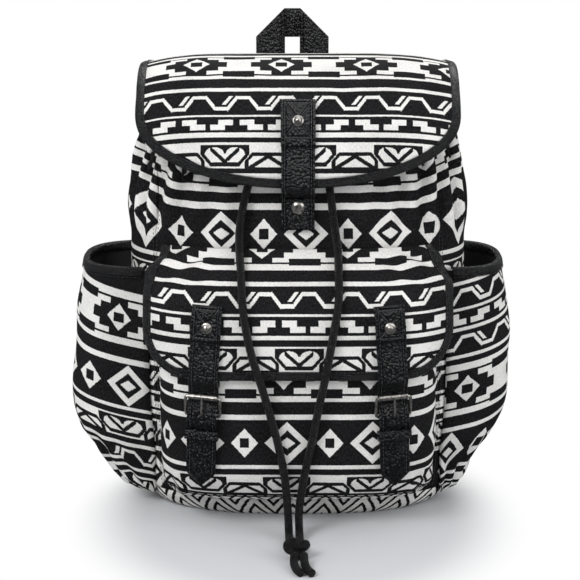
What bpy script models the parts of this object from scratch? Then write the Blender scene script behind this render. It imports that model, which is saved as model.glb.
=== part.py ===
"""A canvas rucksack, standing on its base and seen from the front along +Y.

A sack of five sewn panels is gathered at the mouth by a cord that runs in a hem and comes out of two eyelets.
A bound flap covers the mouth and closes with a snap strap. On the front is a box pocket whose bound flap closes
with two roller buckles, and each side has an open pocket. A folded loop and two shoulder straps are on the back.

Units are metres. +Z is up, -Y is the front, and the origin is the centre of the flat base.
"""

import math

import bmesh
import bpy
from mathutils import Matrix, Vector

# Sack: shares are of the full half width and half depth, against the share of the height
SACK_WIDTH = 0.294
SACK_DEPTH = 0.150
SACK_HEIGHT = 0.345
SQUARENESS = 2.7
BASE_ROUND = 0.036
BASE_SHARE = (0.80, 0.86)
FULLNESS = (
    (BASE_ROUND / SACK_HEIGHT, 0.950, 0.970),
    (0.290, 0.975, 1.000),
    (0.650, 0.970, 0.985),
    (0.860, 0.945, 0.930),
    (0.940, 0.895, 0.865),
    (0.975, 0.840, 0.790),
    (1.000, 0.785, 0.710),
)
GATHERS = 12
GATHER_DEPTH = 0.0045
GATHER_SPAN = (0.76, 0.90, 1.00)
CLOTH = 0.0024
SEAM_ANGLE = math.radians(52)
SEAM_GAP = 0.0003
BASE_EDGE = 0.016

# Hem and drawstring
HEM_CLOTH = 0.0016
HEM_DROP = 0.0100
HEM_RISE = 0.0165
HEM_MIDDLE = 0.0070
CORD_DIAMETER = 0.0068
CORD_CLEARANCE = 0.0004
EYELET_X = 0.031
EYELET_WALL = 0.0008
EYELET_FLANGE = 0.0014
KNOT_CENTRE = (-0.0012, -0.1642, 0.0107)
KNOT_RADIUS = 0.0105

# Bindings of soft leather folded over a cloth edge
BINDING_WIDTH = 0.0080
BINDING_SKIN = 0.0013
BINDING_GAP = 0.0006

# Top flap: its middle line in the Y-Z plane runs from the seam on the back over the top to the front edge
FLAP_HALF_WIDTH = 0.1325
FLAP_SEAM_HALF_WIDTH = 0.100
FLAP_LINE = (
    (0.0690, 0.326),
    (0.0675, 0.345),
    (0.0560, 0.368),
    (0.0300, 0.3835),
    (0.0000, 0.3880),
    (-0.0310, 0.3830),
    (-0.0560, 0.3685),
    (-0.0720, 0.3490),
    (-0.0800, 0.3260),
    (-0.0835, 0.3050),
    (-0.0842, 0.2925),
)
FLAP_APRON = 0.0600
FLAP_WRAP = 0.0120
FLAP_SEAM_WRAP = 0.0300
FLAP_SIDE_DROP = 0.0090

# Pocket on the front
POCKET_HALF_WIDTH = 0.116
POCKET_BOTTOM = 0.0200
POCKET_TOP = 0.2050
POCKET_ROUND = 0.0480
POCKET_FRONT = ((0.000, 0.1135), (0.080, 0.1155), (0.110, 0.1160), (0.150, 0.1150), (0.185, 0.1095), (0.205, 0.1040))
POCKET_LIFT = 0.0032
BOX_CORNER = 5.0
BOX_FACE = 3.0

# Flap of the front pocket
LID_HALF_WIDTH = 0.1265
LID_SEAM_HALF_WIDTH = 0.112
LID_LINE = (
    (-0.0785, 0.2380),
    (-0.0860, 0.2345),
    (-0.1050, 0.2205),
    (-0.1185, 0.2030),
    (-0.1235, 0.1830),
    (-0.1245, 0.1600),
    (-0.1245, 0.1410),
)
LID_CORNER = 0.0300
LID_WRAP = 0.0300

# Side pockets
SIDE_HALF_WIDTH = 0.0500
SIDE_BOTTOM = 0.0100
SIDE_TOP = 0.2140
SIDE_ROUND = 0.0550
SIDE_FRONT = {
    -1: ((0.000, 0.1550), (0.032, 0.1630), (0.050, 0.1690), (0.060, 0.1760), (0.085, 0.1830), (0.125, 0.1810), (0.175, 0.1765), (0.214, 0.1700)),
    1: ((0.000, 0.1400), (0.032, 0.1470), (0.056, 0.1635), (0.080, 0.1765), (0.125, 0.1805), (0.175, 0.1765), (0.214, 0.1700)),
}
SIDE_REACH = {-1: 1.055, 1: 1.005}
SIDE_LIFT = 0.0034
SIDE_CORNER = 2.6

# Leather straps
STRAP_WIDTH = 0.0250
STRAP_LEATHER = 0.0020
STRAP_CLEARANCE = 0.0003
STRAP_X = 0.0775
STRAP_TILT = math.radians(3.0)
STRAP_TURN = math.radians(9.0)
STRAP_POINT = 0.0120
STUD_RADIUS = 0.0047
RIVET_RADIUS = 0.0012
TAB_LEATHER = 0.0014
BASE_STRAP_WIDTH = 0.0220
BASE_LEATHER = 0.0016

# Roller buckles: rises are above the lower bar, stand-offs are in front of the middle of the pocket's cloth
BAR_HEIGHT = 0.1075
BUCKLE_LENGTH = 0.0170
BUCKLE_HALF_WIDTH = 0.0143
WIRE_RADIUS = 0.0013
ROLLER_RADIUS = 0.0023
RUNNING_CLEARANCE = 0.00025
PRONG_RADIUS = 0.0010
PRONG_WIDTH = 0.0030
SLOT_LENGTH = 0.0064
KEEPER_HEIGHT = 0.0080
KEEPER_LEATHER = 0.0013
KEEPER_ROOM = 0.0006
KEEPER_RISE = -0.0162

# Centre strap with its stud and snap
CLOSING_WIDTH = 0.0275
CLOSING_TAB = 0.0365
CLOSING_START = 0.1810
SNAP_HEIGHT = 0.2740
CLOSING_END = 0.2550
SNAP_RADIUS = 0.0054
SNAP_STACK = 0.0036

# Grab handle
HANDLE_STRAP = 0.0250
HANDLE_WINDOW = 0.0140
HANDLE_LEATHER = 0.0027
HANDLE_TOP = 0.4200
HANDLE_FOOT = 0.3300
HANDLE_X = -0.0045
HANDLE_Y = 0.0702

# Shoulder straps
SHOULDER_WIDTH = 0.0400
SHOULDER_PAD = 0.0080
SHOULDER_LINE = (
    (0.040, 0.0687, 0.3165),
    (0.041, 0.0810, 0.3200),
    (0.043, 0.0925, 0.3140),
    (0.047, 0.1000, 0.2950),
    (0.055, 0.1035, 0.2550),
    (0.064, 0.1020, 0.2050),
    (0.072, 0.0950, 0.1600),
    (0.078, 0.0885, 0.1300),
)
WEBBING_WIDTH = 0.0240
WEBBING_CLOTH = 0.0014
WEBBING_FOOT = (0.096, 0.0679, 0.0420)
LOCK_WIDTH = 0.0310
LOCK_LENGTH = 0.0300
LOCK_PLATE = 0.0040
LOCK_RAIL = 0.0040
LOCK_AT = (0.0800, 0.0885, 0.1050)
TAIL_END = 0.0500

CANVAS = (0.50, 0.49, 0.47, 1.0)
LEATHER = (0.018, 0.018, 0.020, 1.0)
NICKEL = (0.62, 0.60, 0.55, 1.0)
CORD_BLACK = (0.012, 0.012, 0.013, 1.0)
PLASTIC = (0.02, 0.02, 0.02, 1.0)


def clear_scene():
    for obj in list(bpy.data.objects):
        bpy.data.objects.remove(obj)


def principled(name, colour, roughness, metallic=0.0):
    material = bpy.data.materials.new(name)
    material.use_nodes = True
    shader = material.node_tree.nodes["Principled BSDF"]
    shader.inputs["Base Color"].default_value = colour
    shader.inputs["Roughness"].default_value = roughness
    shader.inputs["Metallic"].default_value = metallic
    material.diffuse_color = colour
    return material


def hermite(table, t):
    """Smooth values through a table whose first column rises, held level outside it."""
    if t <= table[0][0]:
        return table[0][1:]
    if t >= table[-1][0]:
        return table[-1][1:]
    i = max(k for k in range(len(table) - 1) if table[k][0] <= t)
    low, high = table[i], table[i + 1]
    before, after = table[max(i - 1, 0)], table[min(i + 2, len(table) - 1)]
    step = high[0] - low[0]
    f = (t - low[0]) / step
    out = []
    for k in range(1, len(low)):
        slope_low = (high[k] - before[k]) / (high[0] - before[0]) * step
        slope_high = (after[k] - low[k]) / (after[0] - low[0]) * step
        out.append(
            (2 * f**3 - 3 * f**2 + 1) * low[k]
            + (f**3 - 2 * f**2 + f) * slope_low
            + (3 * f**2 - 2 * f**3) * high[k]
            + (f**3 - f**2) * slope_high
        )
    return out


def power(value, exponent):
    return math.copysign(abs(value) ** exponent, value)


def smooth_line(points, per_span=8):
    """Catmull-Rom points through the given ones."""
    points = [Vector(p) for p in points]
    ends = [2 * points[0] - points[1]] + points + [2 * points[-1] - points[-2]]
    line = []
    for a, b, c, d in zip(ends, ends[1:], ends[2:], ends[3:]):
        for k in range(per_span):
            t = k / per_span
            line.append(
                0.5 * (2 * b + (c - a) * t + (2 * a - 5 * b + 4 * c - d) * t**2 + (3 * b - a - 3 * c + d) * t**3)
            )
    line.append(points[-1])
    return line


class Profile:
    """A smooth line in the Y-Z plane, read by its length from the first end, or by height on a falling line."""

    def __init__(self, points, per_span=10):
        self.line = smooth_line([(y, z) for y, z in points], per_span)
        self.along = [0.0]
        for a, b in zip(self.line, self.line[1:]):
            self.along.append(self.along[-1] + (b - a).length)
        self.length = self.along[-1]

    def at(self, distance):
        i = 0
        while i < len(self.line) - 2 and self.along[i + 1] < distance:
            i += 1
        share = (distance - self.along[i]) / (self.along[i + 1] - self.along[i])
        return self.line[i].lerp(self.line[i + 1], share)

    def along_at(self, height):
        for k in range(len(self.line) - 1):
            a, b = self.line[k], self.line[k + 1]
            if min(a.y, b.y) <= height <= max(a.y, b.y):
                return self.along[k] + (b - a).length * (height - a.y) / (b.y - a.y)
        return self.length

    def y_at(self, height):
        for a, b in zip(reversed(self.line[1:]), reversed(self.line[:-1])):
            if a.y <= height <= b.y:
                return a.x + (b.x - a.x) * (height - a.y) / (b.y - a.y)
        return self.line[-1].x if height < self.line[-1].y else self.line[0].x


def finish(name, mesh_maker, material, smooth=True, angle=math.radians(40)):
    """Makes the object of one node from a bmesh, with its faces turned outwards."""
    mesh = bpy.data.meshes.new(name)
    bmesh.ops.remove_doubles(mesh_maker, verts=mesh_maker.verts, dist=1e-6)
    bmesh.ops.dissolve_degenerate(mesh_maker, edges=mesh_maker.edges, dist=1e-7)
    bmesh.ops.recalc_face_normals(mesh_maker, faces=mesh_maker.faces)
    mesh_maker.to_mesh(mesh)
    mesh_maker.free()
    mesh.materials.append(material)
    obj = bpy.data.objects.new(name, mesh)
    bpy.context.scene.collection.objects.link(obj)
    if smooth:
        mesh.shade_smooth()
        mesh.set_sharp_from_angle(angle=angle)
    return obj


def normal_of(surface, a, b, step=1e-4):
    """Outward direction of a surface whose first parameter goes to the right and whose second goes up."""
    across = surface(a + step, b) - surface(a - step, b)
    up = surface(a, b + step) - surface(a, b - step)
    if surface in HANGING:
        up = -up
    return across.cross(up).normalized()


def skin(maker, rows, closed=False):
    """Faces between rows of points, each row closed on itself if asked."""
    made = [[maker.verts.new(p) for p in row] for row in rows]
    for low, high in zip(made, made[1:]):
        count = len(low)
        for i in range(count if closed else count - 1):
            j = (i + 1) % count
            maker.faces.new((low[i], low[j], high[j], high[i]))
    return made


def cells(rows):
    """Four-sided cells between rows of surface parameters."""
    return [
        (low[i], low[i + 1], high[i + 1], high[i])
        for low, high in zip(rows, rows[1:])
        for i in range(len(low) - 1)
    ]


def strip(inner, edge):
    """Three-sided cells between two lines, split the same way as a binding's faces so that both lie parallel."""
    triangles = []
    for i in range(len(inner) - 1):
        triangles.append((inner[i], inner[i + 1], edge[i + 1]))
        triangles.append((inner[i], edge[i + 1], edge[i]))
    return triangles


def sheet(name, surface, patches, thickness, material):
    """Cloth of even thickness about a surface, over cells given by the surface's two parameters."""
    half = thickness / 2
    maker = bmesh.new()
    made = {}

    def pair(parameters):
        key = (round(parameters[0], 6), round(parameters[1], 6))
        if key not in made:
            point, normal = surface(*parameters), normal_of(surface, *parameters)
            made[key] = (maker.verts.new(point + normal * half), maker.verts.new(point - normal * half))
        return made[key]

    edges = {}
    for patch in patches:
        corners = [pair(parameters) for parameters in patch]
        maker.faces.new([corner[0] for corner in corners])
        maker.faces.new([corner[1] for corner in reversed(corners)])
        for a, b in zip(corners, corners[1:] + corners[:1]):
            edge = frozenset((a, b))
            edges[edge] = None if edge in edges else (a, b)
    for a, b in filter(None, edges.values()):
        maker.faces.new((b[0], a[0], a[1], b[1]))
    return finish(name, maker, material)


def sweep(name, sections, material, closed=False, angle=math.radians(40)):
    """A solid through closed sections that all have the same number of points, capped unless it closes on itself."""
    maker = bmesh.new()
    rings = skin(maker, sections + sections[:1] if closed else sections, closed=True)
    if not closed:
        maker.faces.new(rings[0])
        maker.faces.new(rings[-1])
    return finish(name, maker, material, angle=angle)


def binding(name, surface, edge_line, inner_line, thickness, material):
    """Leather folded round an edge, between lines of parameters at the edge and at the leather's inner side."""
    lie = thickness / 2 + BINDING_GAP
    skin_out = lie + BINDING_SKIN
    sections = []
    for at_edge, at_inner in zip(edge_line, inner_line):
        edge, edge_n = surface(*at_edge), normal_of(surface, *at_edge)
        deep, deep_n = surface(*at_inner), normal_of(surface, *at_inner)
        out = (edge - deep).normalized()
        sections.append(
            [
                deep + deep_n * skin_out,
                edge + edge_n * skin_out,
                edge + edge_n * skin_out * 0.55 + out * (BINDING_GAP + BINDING_SKIN),
                edge - edge_n * skin_out * 0.55 + out * (BINDING_GAP + BINDING_SKIN),
                edge - edge_n * skin_out,
                deep - deep_n * skin_out,
                deep - deep_n * lie,
                edge - edge_n * lie + out * BINDING_GAP,
                edge + edge_n * lie + out * BINDING_GAP,
                deep + deep_n * lie,
            ]
        )
    maker = bmesh.new()
    rings = [[maker.verts.new(point) for point in section] for section in sections]
    for low, high in zip(rings, rings[1:]):
        for i in range(len(low)):
            j = (i + 1) % len(low)
            if i in (0, 6):
                maker.faces.new((low[i], low[j], high[j]))
                maker.faces.new((low[i], high[j], high[i]))
            elif i in (4, 8):
                maker.faces.new((low[i], low[j], high[i]))
                maker.faces.new((low[j], high[j], high[i]))
            else:
                maker.faces.new((low[i], low[j], high[j], high[i]))
    maker.faces.new(rings[0])
    maker.faces.new(rings[-1])
    return finish(name, maker, material)


def band(name, path, half_widths, thickness, material, across=Vector((1, 0, 0))):
    """A flat strap along points of its middle, with a half width at each of them."""
    sections = []
    for i, point in enumerate(path):
        ahead = path[min(i + 1, len(path) - 1)] - path[max(i - 1, 0)]
        face = ahead.cross(across).normalized() * (thickness / 2)
        side = across * half_widths[i]
        sections.append([point - side - face, point + side - face, point + side + face, point - side + face])
    return sweep(name, sections, material)


def turned(name, profile, sides, material, ring=False):
    """A turned piece about its own Z axis from (radius, height) points; a ring's profile closes on itself."""
    rows = []
    for k in range(sides):
        turn = 2 * math.pi * k / sides
        rows.append([Vector((r * math.cos(turn), r * math.sin(turn), h)) for r, h in profile])
    maker = bmesh.new()
    skin(maker, rows + rows[:1], closed=ring)
    return finish(name, maker, material)


def box(name, low, high, material=None):
    maker = bmesh.new()
    bmesh.ops.create_cube(maker, size=1.0)
    middle, size = (Vector(low) + Vector(high)) / 2, Vector(high) - Vector(low)
    for vert in maker.verts:
        vert.co = middle + Vector(c * s for c, s in zip(vert.co, size))
    return finish(name, maker, material, smooth=False)


def cut(obj, cutter):
    """Takes a helper's shape out of an object, and leaves the helper out of the model."""
    modifier = obj.modifiers.new("cut", "BOOLEAN")
    modifier.operation = "DIFFERENCE"
    modifier.object = cutter
    cutter.hide_render = True
    cutter.display_type = "WIRE"


def join(obj, other):
    modifier = obj.modifiers.new("join", "BOOLEAN")
    modifier.operation = "UNION"
    modifier.object = other
    other.hide_render = True
    other.display_type = "WIRE"


def rise_of(height, foot, radius):
    """Share of a quarter round reached at a height above its foot."""
    return math.sqrt(max(0.0, 1 - max(0.0, 1 - (height - foot) / radius) ** 2)) if height > foot else 0.0


def ease(value):
    value = min(1.0, max(0.0, value))
    return value * value * (3 - 2 * value)


def sack_half(height):
    share = height / SACK_HEIGHT
    if height < BASE_ROUND:
        rise = rise_of(height, 0.0, BASE_ROUND)
        shares = [low + (full - low) * rise for low, full in zip(BASE_SHARE, FULLNESS[0][1:])]
    else:
        shares = hermite(FULLNESS, share)
    return SACK_WIDTH / 2 * shares[0], SACK_DEPTH / 2 * shares[1]


def sack_y(x, height):
    half_x, half_y = sack_half(height)
    return half_y * max(0.0, 1 - abs(x / half_x) ** SQUARENESS) ** (1 / SQUARENESS)


def sack_x(y, height):
    half_x, half_y = sack_half(height)
    return half_x * max(0.0, 1 - abs(y / half_y) ** SQUARENESS) ** (1 / SQUARENESS)


def sack(angle, height):
    """Middle of the sack's cloth; the angle is 0 at the front and grows towards +X."""
    half_x, half_y = sack_half(height)
    start, full, end = (height / SACK_HEIGHT - edge for edge in GATHER_SPAN)
    fold = ease(start / (GATHER_SPAN[1] - GATHER_SPAN[0])) * ease(-end / (GATHER_SPAN[2] - GATHER_SPAN[1]))
    side = min(1.0, 1.4 * abs(math.sin(angle)))
    shrink = GATHER_DEPTH * fold * side * (0.5 + 0.5 * math.cos(GATHERS * angle))
    x = (half_x - shrink) * power(math.sin(angle), 2 / SQUARENESS)
    y = (half_y - shrink) * power(math.cos(angle), 2 / SQUARENESS)
    return Vector((x, -y, height + CLOTH / 2))


def pocket(turn, height):
    """Middle of the front pocket's cloth, from its seam on one side round to the other."""
    rise = rise_of(height, POCKET_BOTTOM, POCKET_ROUND)
    half = POCKET_HALF_WIDTH * (0.90 + 0.10 * rise)
    x = half * power(math.sin(turn), 2 / BOX_CORNER)
    wall = sack_y(half, height)
    boxed = wall + (hermite(POCKET_FRONT, height)[0] - wall) * abs(math.cos(turn)) ** (2 / BOX_FACE)
    near = sack_y(x, height)
    return Vector((x, -(near + (boxed - near) * rise + POCKET_LIFT), height + CLOTH / 2))


def side_pocket(side):
    """Middle of a side pocket's cloth; side is -1 or 1 along X."""

    def surface(turn, height):
        rise = rise_of(height, SIDE_BOTTOM, SIDE_ROUND)
        half = SIDE_HALF_WIDTH * (0.80 + 0.20 * rise)
        y = half * power(math.sin(turn), 2 / SIDE_CORNER) * side
        wall = sack_x(half, height)
        boxed = wall + (hermite(SIDE_FRONT[side], height)[0] * SIDE_REACH[side] - wall) * abs(math.cos(turn)) ** (2 / SIDE_CORNER)
        near = sack_x(y, height)
        return Vector((side * (near + (boxed - near) * rise + SIDE_LIFT), y, height + CLOTH / 2))

    return surface


HANGING = []
FLAP = Profile(FLAP_LINE)
LID = Profile(LID_LINE)


def flap(x, along):
    """Middle of the top flap's cloth, from the seam on the back to the front edge."""
    y, z = FLAP.at(along)
    edge = abs(x) / FLAP_HALF_WIDTH
    from_seam = ease(along / 0.085)
    front = ease((along - 0.11) / 0.06)
    y -= FLAP_SEAM_WRAP * edge**3 * (1 - from_seam)
    y += FLAP_WRAP * edge**2.5 * front
    z -= FLAP_SIDE_DROP * edge**5 * from_seam
    return Vector((x, y, z))


def lid(x, along):
    """Middle of the pocket flap's cloth, from its seam on the sack to the lower edge."""
    y, z = LID.at(along)
    from_seam = ease(along / 0.045)
    y += (sack_y(0, z) - sack_y(x, z)) * (1 - from_seam)
    y += LID_WRAP * (abs(x) / LID_HALF_WIDTH) ** 5 * from_seam
    return Vector((x, y, z))


HANGING += [flap, lid]


def flap_end(share):
    """How far along its middle line the flap reaches at a share of its half width."""
    return FLAP.length - BINDING_WIDTH - FLAP_APRON * (1 - max(0.0, 1 - abs(share) ** 2.3) ** (1 / 2.0))


def lid_end(share):
    half = LID_HALF_WIDTH - BINDING_WIDTH
    into = max(0.0, abs(share) * half - (half - LID_CORNER)) / LID_CORNER
    return LID.length - BINDING_WIDTH - LID_CORNER * (1 - math.sqrt(max(0.0, 1 - into**2)))


def flap_half(along):
    return FLAP_SEAM_HALF_WIDTH + (FLAP_HALF_WIDTH - FLAP_SEAM_HALF_WIDTH) * ease(along / 0.095) - BINDING_WIDTH


def lid_half(along):
    return LID_SEAM_HALF_WIDTH + (LID_HALF_WIDTH - LID_SEAM_HALF_WIDTH) * ease(along / 0.050) - BINDING_WIDTH


def apron_grid(shares, rows, end, half):
    """Rows from the seam to the binding's inner side, whose reach depends on the share of the half width."""
    grid = []
    for k in range(rows + 1):
        row = []
        for share in shares:
            along = end(share) * k / rows
            row.append((share * half(along), along))
        grid.append(row)
    return grid


def free_edge(grid):
    """The inner side and the edge of the binding: down one side of an apron grid, along its end and up the other."""
    inner = [row[0] for row in grid[:-1]] + list(grid[-1]) + [row[-1] for row in reversed(grid[:-1])]
    edge = []
    for i, point in enumerate(inner):
        a, b = inner[max(i - 1, 0)], inner[min(i + 1, len(inner) - 1)]
        along = Vector((b[0] - a[0], b[1] - a[1])).normalized()
        if i in (0, len(inner) - 1):
            along = Vector((0, 1 if i == 0 else -1))
        edge.append((point[0] - along.y * BINDING_WIDTH, point[1] + along.x * BINDING_WIDTH))
    return inner, edge


def spread(count, low, high):
    return [low + (high - low) * k / (count - 1) for k in range(count)]


def tube(name, path, radius, material, sides=10, closed=False):
    """A round cord or wire along points, with a frame carried along without twist."""
    count = len(path)
    ahead = []
    for i in range(count):
        if closed:
            ahead.append((path[(i + 1) % count] - path[i - 1]).normalized())
        else:
            ahead.append((path[min(i + 1, count - 1)] - path[max(i - 1, 0)]).normalized())
    side = ahead[0].orthogonal().normalized()
    sections = []
    for point, axis in zip(path, ahead):
        side = (side - axis * side.dot(axis)).normalized()
        other = axis.cross(side)
        turns = [2 * math.pi * k / sides for k in range(sides)]
        sections.append([point + (side * math.cos(t) + other * math.sin(t)) * radius for t in turns])
    return sweep(name, sections, material, closed=closed, angle=math.radians(60))


def build_sack(canvas):
    heights = (0.0, BASE_EDGE * 0.35, BASE_EDGE)
    rings = []
    columns = 48
    for face in (1, -1):
        ring_heights = heights if face == 1 else heights[::-1]
        for height in ring_heights:
            ring = []
            for k in range(columns):
                angle = 2 * math.pi * k / columns
                point = sack(angle, height)
                normal = Vector((0, 0, -1)) if height == 0.0 else normal_of(sack, angle, height)
                ring.append(point + normal * CLOTH / 2 * face)
            rings.append(ring)
    for point in rings[0]:
        point.z = 0.0
    for point in rings[-1]:
        point.z = CLOTH
    sweep("base_panel", rings, canvas)

    rows = (0.029, 0.045, 0.120, 0.200, 0.245, 0.272, 0.292, 0.310, 0.324)
    heights = [BASE_EDGE + SEAM_GAP, *rows, SACK_HEIGHT - HEM_DROP, SACK_HEIGHT]
    gap = SEAM_GAP / SACK_DEPTH
    for name, angles in panel_angles():
        angles = [angles[0] + gap, *angles[1:-1], angles[-1] - gap]
        sheet(name, sack, cells([[(angle, height) for angle in angles] for height in heights]), CLOTH, canvas)


def panel_angles():
    """The seam to seam angles of the four upright panels."""
    corner, half_turn = SEAM_ANGLE, math.pi
    return (
        ("front_panel", spread(15, -corner, corner)),
        ("right_panel", spread(12, corner, half_turn - corner)),
        ("back_panel", spread(15, half_turn - corner, half_turn + corner)),
        ("left_panel", spread(12, half_turn + corner, 2 * half_turn - corner)),
    )


def hem_frame(angle):
    """Mouth edge, outward direction and direction past the edge at one angle."""
    edge = sack(angle, SACK_HEIGHT)
    past = (edge - sack(angle, SACK_HEIGHT - 0.002)).normalized()
    return edge, normal_of(sack, angle, SACK_HEIGHT - 0.001), past


def eyelet_angle(side):
    half_x = sack_half(SACK_HEIGHT)[0]
    return side * math.asin((EYELET_X / half_x) ** (SQUARENESS / 2))


def build_hem(canvas, metal, cord):
    lie = CLOTH / 2 + SEAM_GAP + 0.0003
    bore = CORD_DIAMETER / 2 + CORD_CLEARANCE
    half_line = (
        (lie, -1.0),
        (lie, -0.0030),
        (bore, 0.0005),
        (bore, HEM_RISE - HEM_CLOTH),
    )
    sections = []
    for angle in [angle for name, angles in panel_angles() for angle in angles[:-1]]:
        edge, out, past = hem_frame(angle)
        deep = sack(angle, SACK_HEIGHT - HEM_DROP)
        deep_out = normal_of(sack, angle, SACK_HEIGHT - HEM_DROP)
        section = []
        for skin_out, order in ((HEM_CLOTH, 1), (0.0, -1)):
            side_line = []
            for reach, height in half_line:
                if height == -1.0:
                    side_line.append((deep, deep_out, reach + skin_out, 0.0))
                else:
                    side_line.append((edge, out, reach + skin_out, height + (skin_out if height > 0.008 else 0.0)))
            loop = [base + way * reach + past * height for base, way, reach, height in side_line]
            loop += [base - way * reach + past * height for base, way, reach, height in reversed(side_line)]
            section += loop if order == 1 else loop[::-1]
        sections.append(section)
    hem = sweep("mouth_hem", sections, canvas, closed=True)

    turns = []
    for side, word in ((-1, "left"), (1, "right")):
        angle = eyelet_angle(side)
        edge, out, past = hem_frame(angle)
        wall = edge + past * HEM_MIDDLE + out * bore
        barrel = bore + EYELET_WALL
        rim = barrel + EYELET_FLANGE
        half = HEM_CLOTH + SEAM_GAP
        profile = (
            (bore, -SEAM_GAP - 0.0005),
            (barrel + 0.0006, -SEAM_GAP - 0.0005),
            (barrel + 0.0006, -SEAM_GAP),
            (barrel, -SEAM_GAP),
            (barrel, half),
            (rim, half),
            (rim, half + 0.0005),
            (barrel + 0.0003, half + 0.0011),
            (bore, half + 0.0006),
        )
        place = Matrix.Translation(wall) @ out.to_track_quat("Z", "X").to_matrix().to_4x4()
        eyelet = turned("eyelet_" + word, profile, 16, metal, ring=True)
        eyelet.data.transform(place)
        hole = turned("hole_" + word, ((0, -0.003), (barrel + 0.0002, -0.003), (barrel + 0.0002, 0.006), (0, 0.006)), 16, None)
        hole.data.transform(place)
        cut(hem, hole)
        turns.append(angle)

    clear = 0.0120 / sack_half(SACK_HEIGHT)[0]
    path = []
    for angle in spread(30, turns[1] + clear, 2 * math.pi + turns[0] - clear):
        edge, out, past = hem_frame(angle)
        path.append(edge + past * HEM_MIDDLE)
    tube("drawstring_hem_run", path, CORD_DIAMETER / 2, cord, sides=6)


def strand_points(side):
    """Path of one drawstring end from its eyelet down the front to the knot."""
    edge, out, past = hem_frame(eyelet_angle(side))
    start = edge + past * (HEM_MIDDLE)
    if side < 0:
        hang = (
            (-0.0330, -0.0630, 0.3515), (-0.0355, -0.0695, 0.3380), (-0.0380, -0.0738, 0.3200), (-0.0392, -0.0757, 0.3000),
            (-0.0445, -0.0785, 0.2780), (-0.0480, -0.0815, 0.2560), (-0.0480, -0.0895, 0.2405), (-0.0465, -0.1075, 0.2255),
            (-0.0450, -0.1245, 0.2050), (-0.0420, -0.1290, 0.1830), (-0.0370, -0.1308, 0.1600), (-0.0310, -0.1315, 0.1410),
            (-0.0240, -0.1275, 0.1150), (-0.0165, -0.1250, 0.0850), (-0.0110, -0.1232, 0.0550), (-0.0085, -0.1205, 0.0260),
            (-0.0077, -0.1228, 0.0105), (-0.0074, -0.1275, 0.0060), (-0.0070, -0.1370, 0.0042), (-0.0060, -0.1460, 0.0046),
            (-0.0054, -0.1542, 0.0058),
        )
    else:
        hang = (
            (0.0305, -0.0630, 0.3515), (0.0290, -0.0695, 0.3380), (0.0265, -0.0738, 0.3200), (0.0250, -0.0757, 0.3000),
            (0.0275, -0.0785, 0.2780), (0.0305, -0.0815, 0.2560), (0.0325, -0.0895, 0.2405), (0.0330, -0.1075, 0.2255),
            (0.0325, -0.1245, 0.2050), (0.0290, -0.1290, 0.1830), (0.0250, -0.1308, 0.1600), (0.0215, -0.1315, 0.1410),
            (0.0165, -0.1275, 0.1150), (0.0110, -0.1250, 0.0850), (0.0050, -0.1232, 0.0550), (0.0010, -0.1205, 0.0260),
            (0.0010, -0.1228, 0.0105), (0.0013, -0.1275, 0.0060), (0.0018, -0.1370, 0.0042), (0.0026, -0.1455, 0.0046),
            (0.0032, -0.1534, 0.0058),
        )
    out_of_hem = [start, start + out * 0.0035, start + out * 0.0072, start + out * 0.0102 + Vector((0, 0, -0.0006))]
    return smooth_line(out_of_hem + [Vector(p) for p in hang], 2)


def build_drawstring(cord):
    for side, word in ((-1, "left"), (1, "right")):
        tube("drawstring_" + word, strand_points(side), CORD_DIAMETER / 2, cord, sides=8)

    centre = Vector(KNOT_CENTRE)
    rows = []
    rings = 11
    for i in range(1, rings):
        polar = math.pi * i / rings
        ring = []
        for k in range(18):
            turn = 2 * math.pi * k / 18
            wrap = 0.5 + 0.5 * math.cos(3 * turn + 5.0 * math.cos(polar))
            radius = KNOT_RADIUS * (0.90 + 0.12 * wrap)
            across = Vector((math.sin(polar) * math.cos(turn), -math.cos(polar), math.sin(polar) * math.sin(turn)))
            ring.append(centre + Vector((across.x * 1.22, across.y * 1.0, across.z)) * radius)
        rows.append(ring)
    sweep("drawstring_knot", rows, cord)

    radius = CORD_DIAMETER / 2
    for word, lines in (
        ("left", ((-0.0030, -0.1750, 0.0085), (-0.0034, -0.1830, 0.0050), (-0.0016, -0.1920, 0.0036), (0.0020, -0.2000, 0.0036))),
        ("right", ((0.0046, -0.1747, 0.0085), (0.0052, -0.1830, 0.0050), (0.0072, -0.1920, 0.0036), (0.0108, -0.2005, 0.0036))),
    ):
        tube("drawstring_tail_" + word, smooth_line(lines, 3), radius, cord, sides=8)


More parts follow.
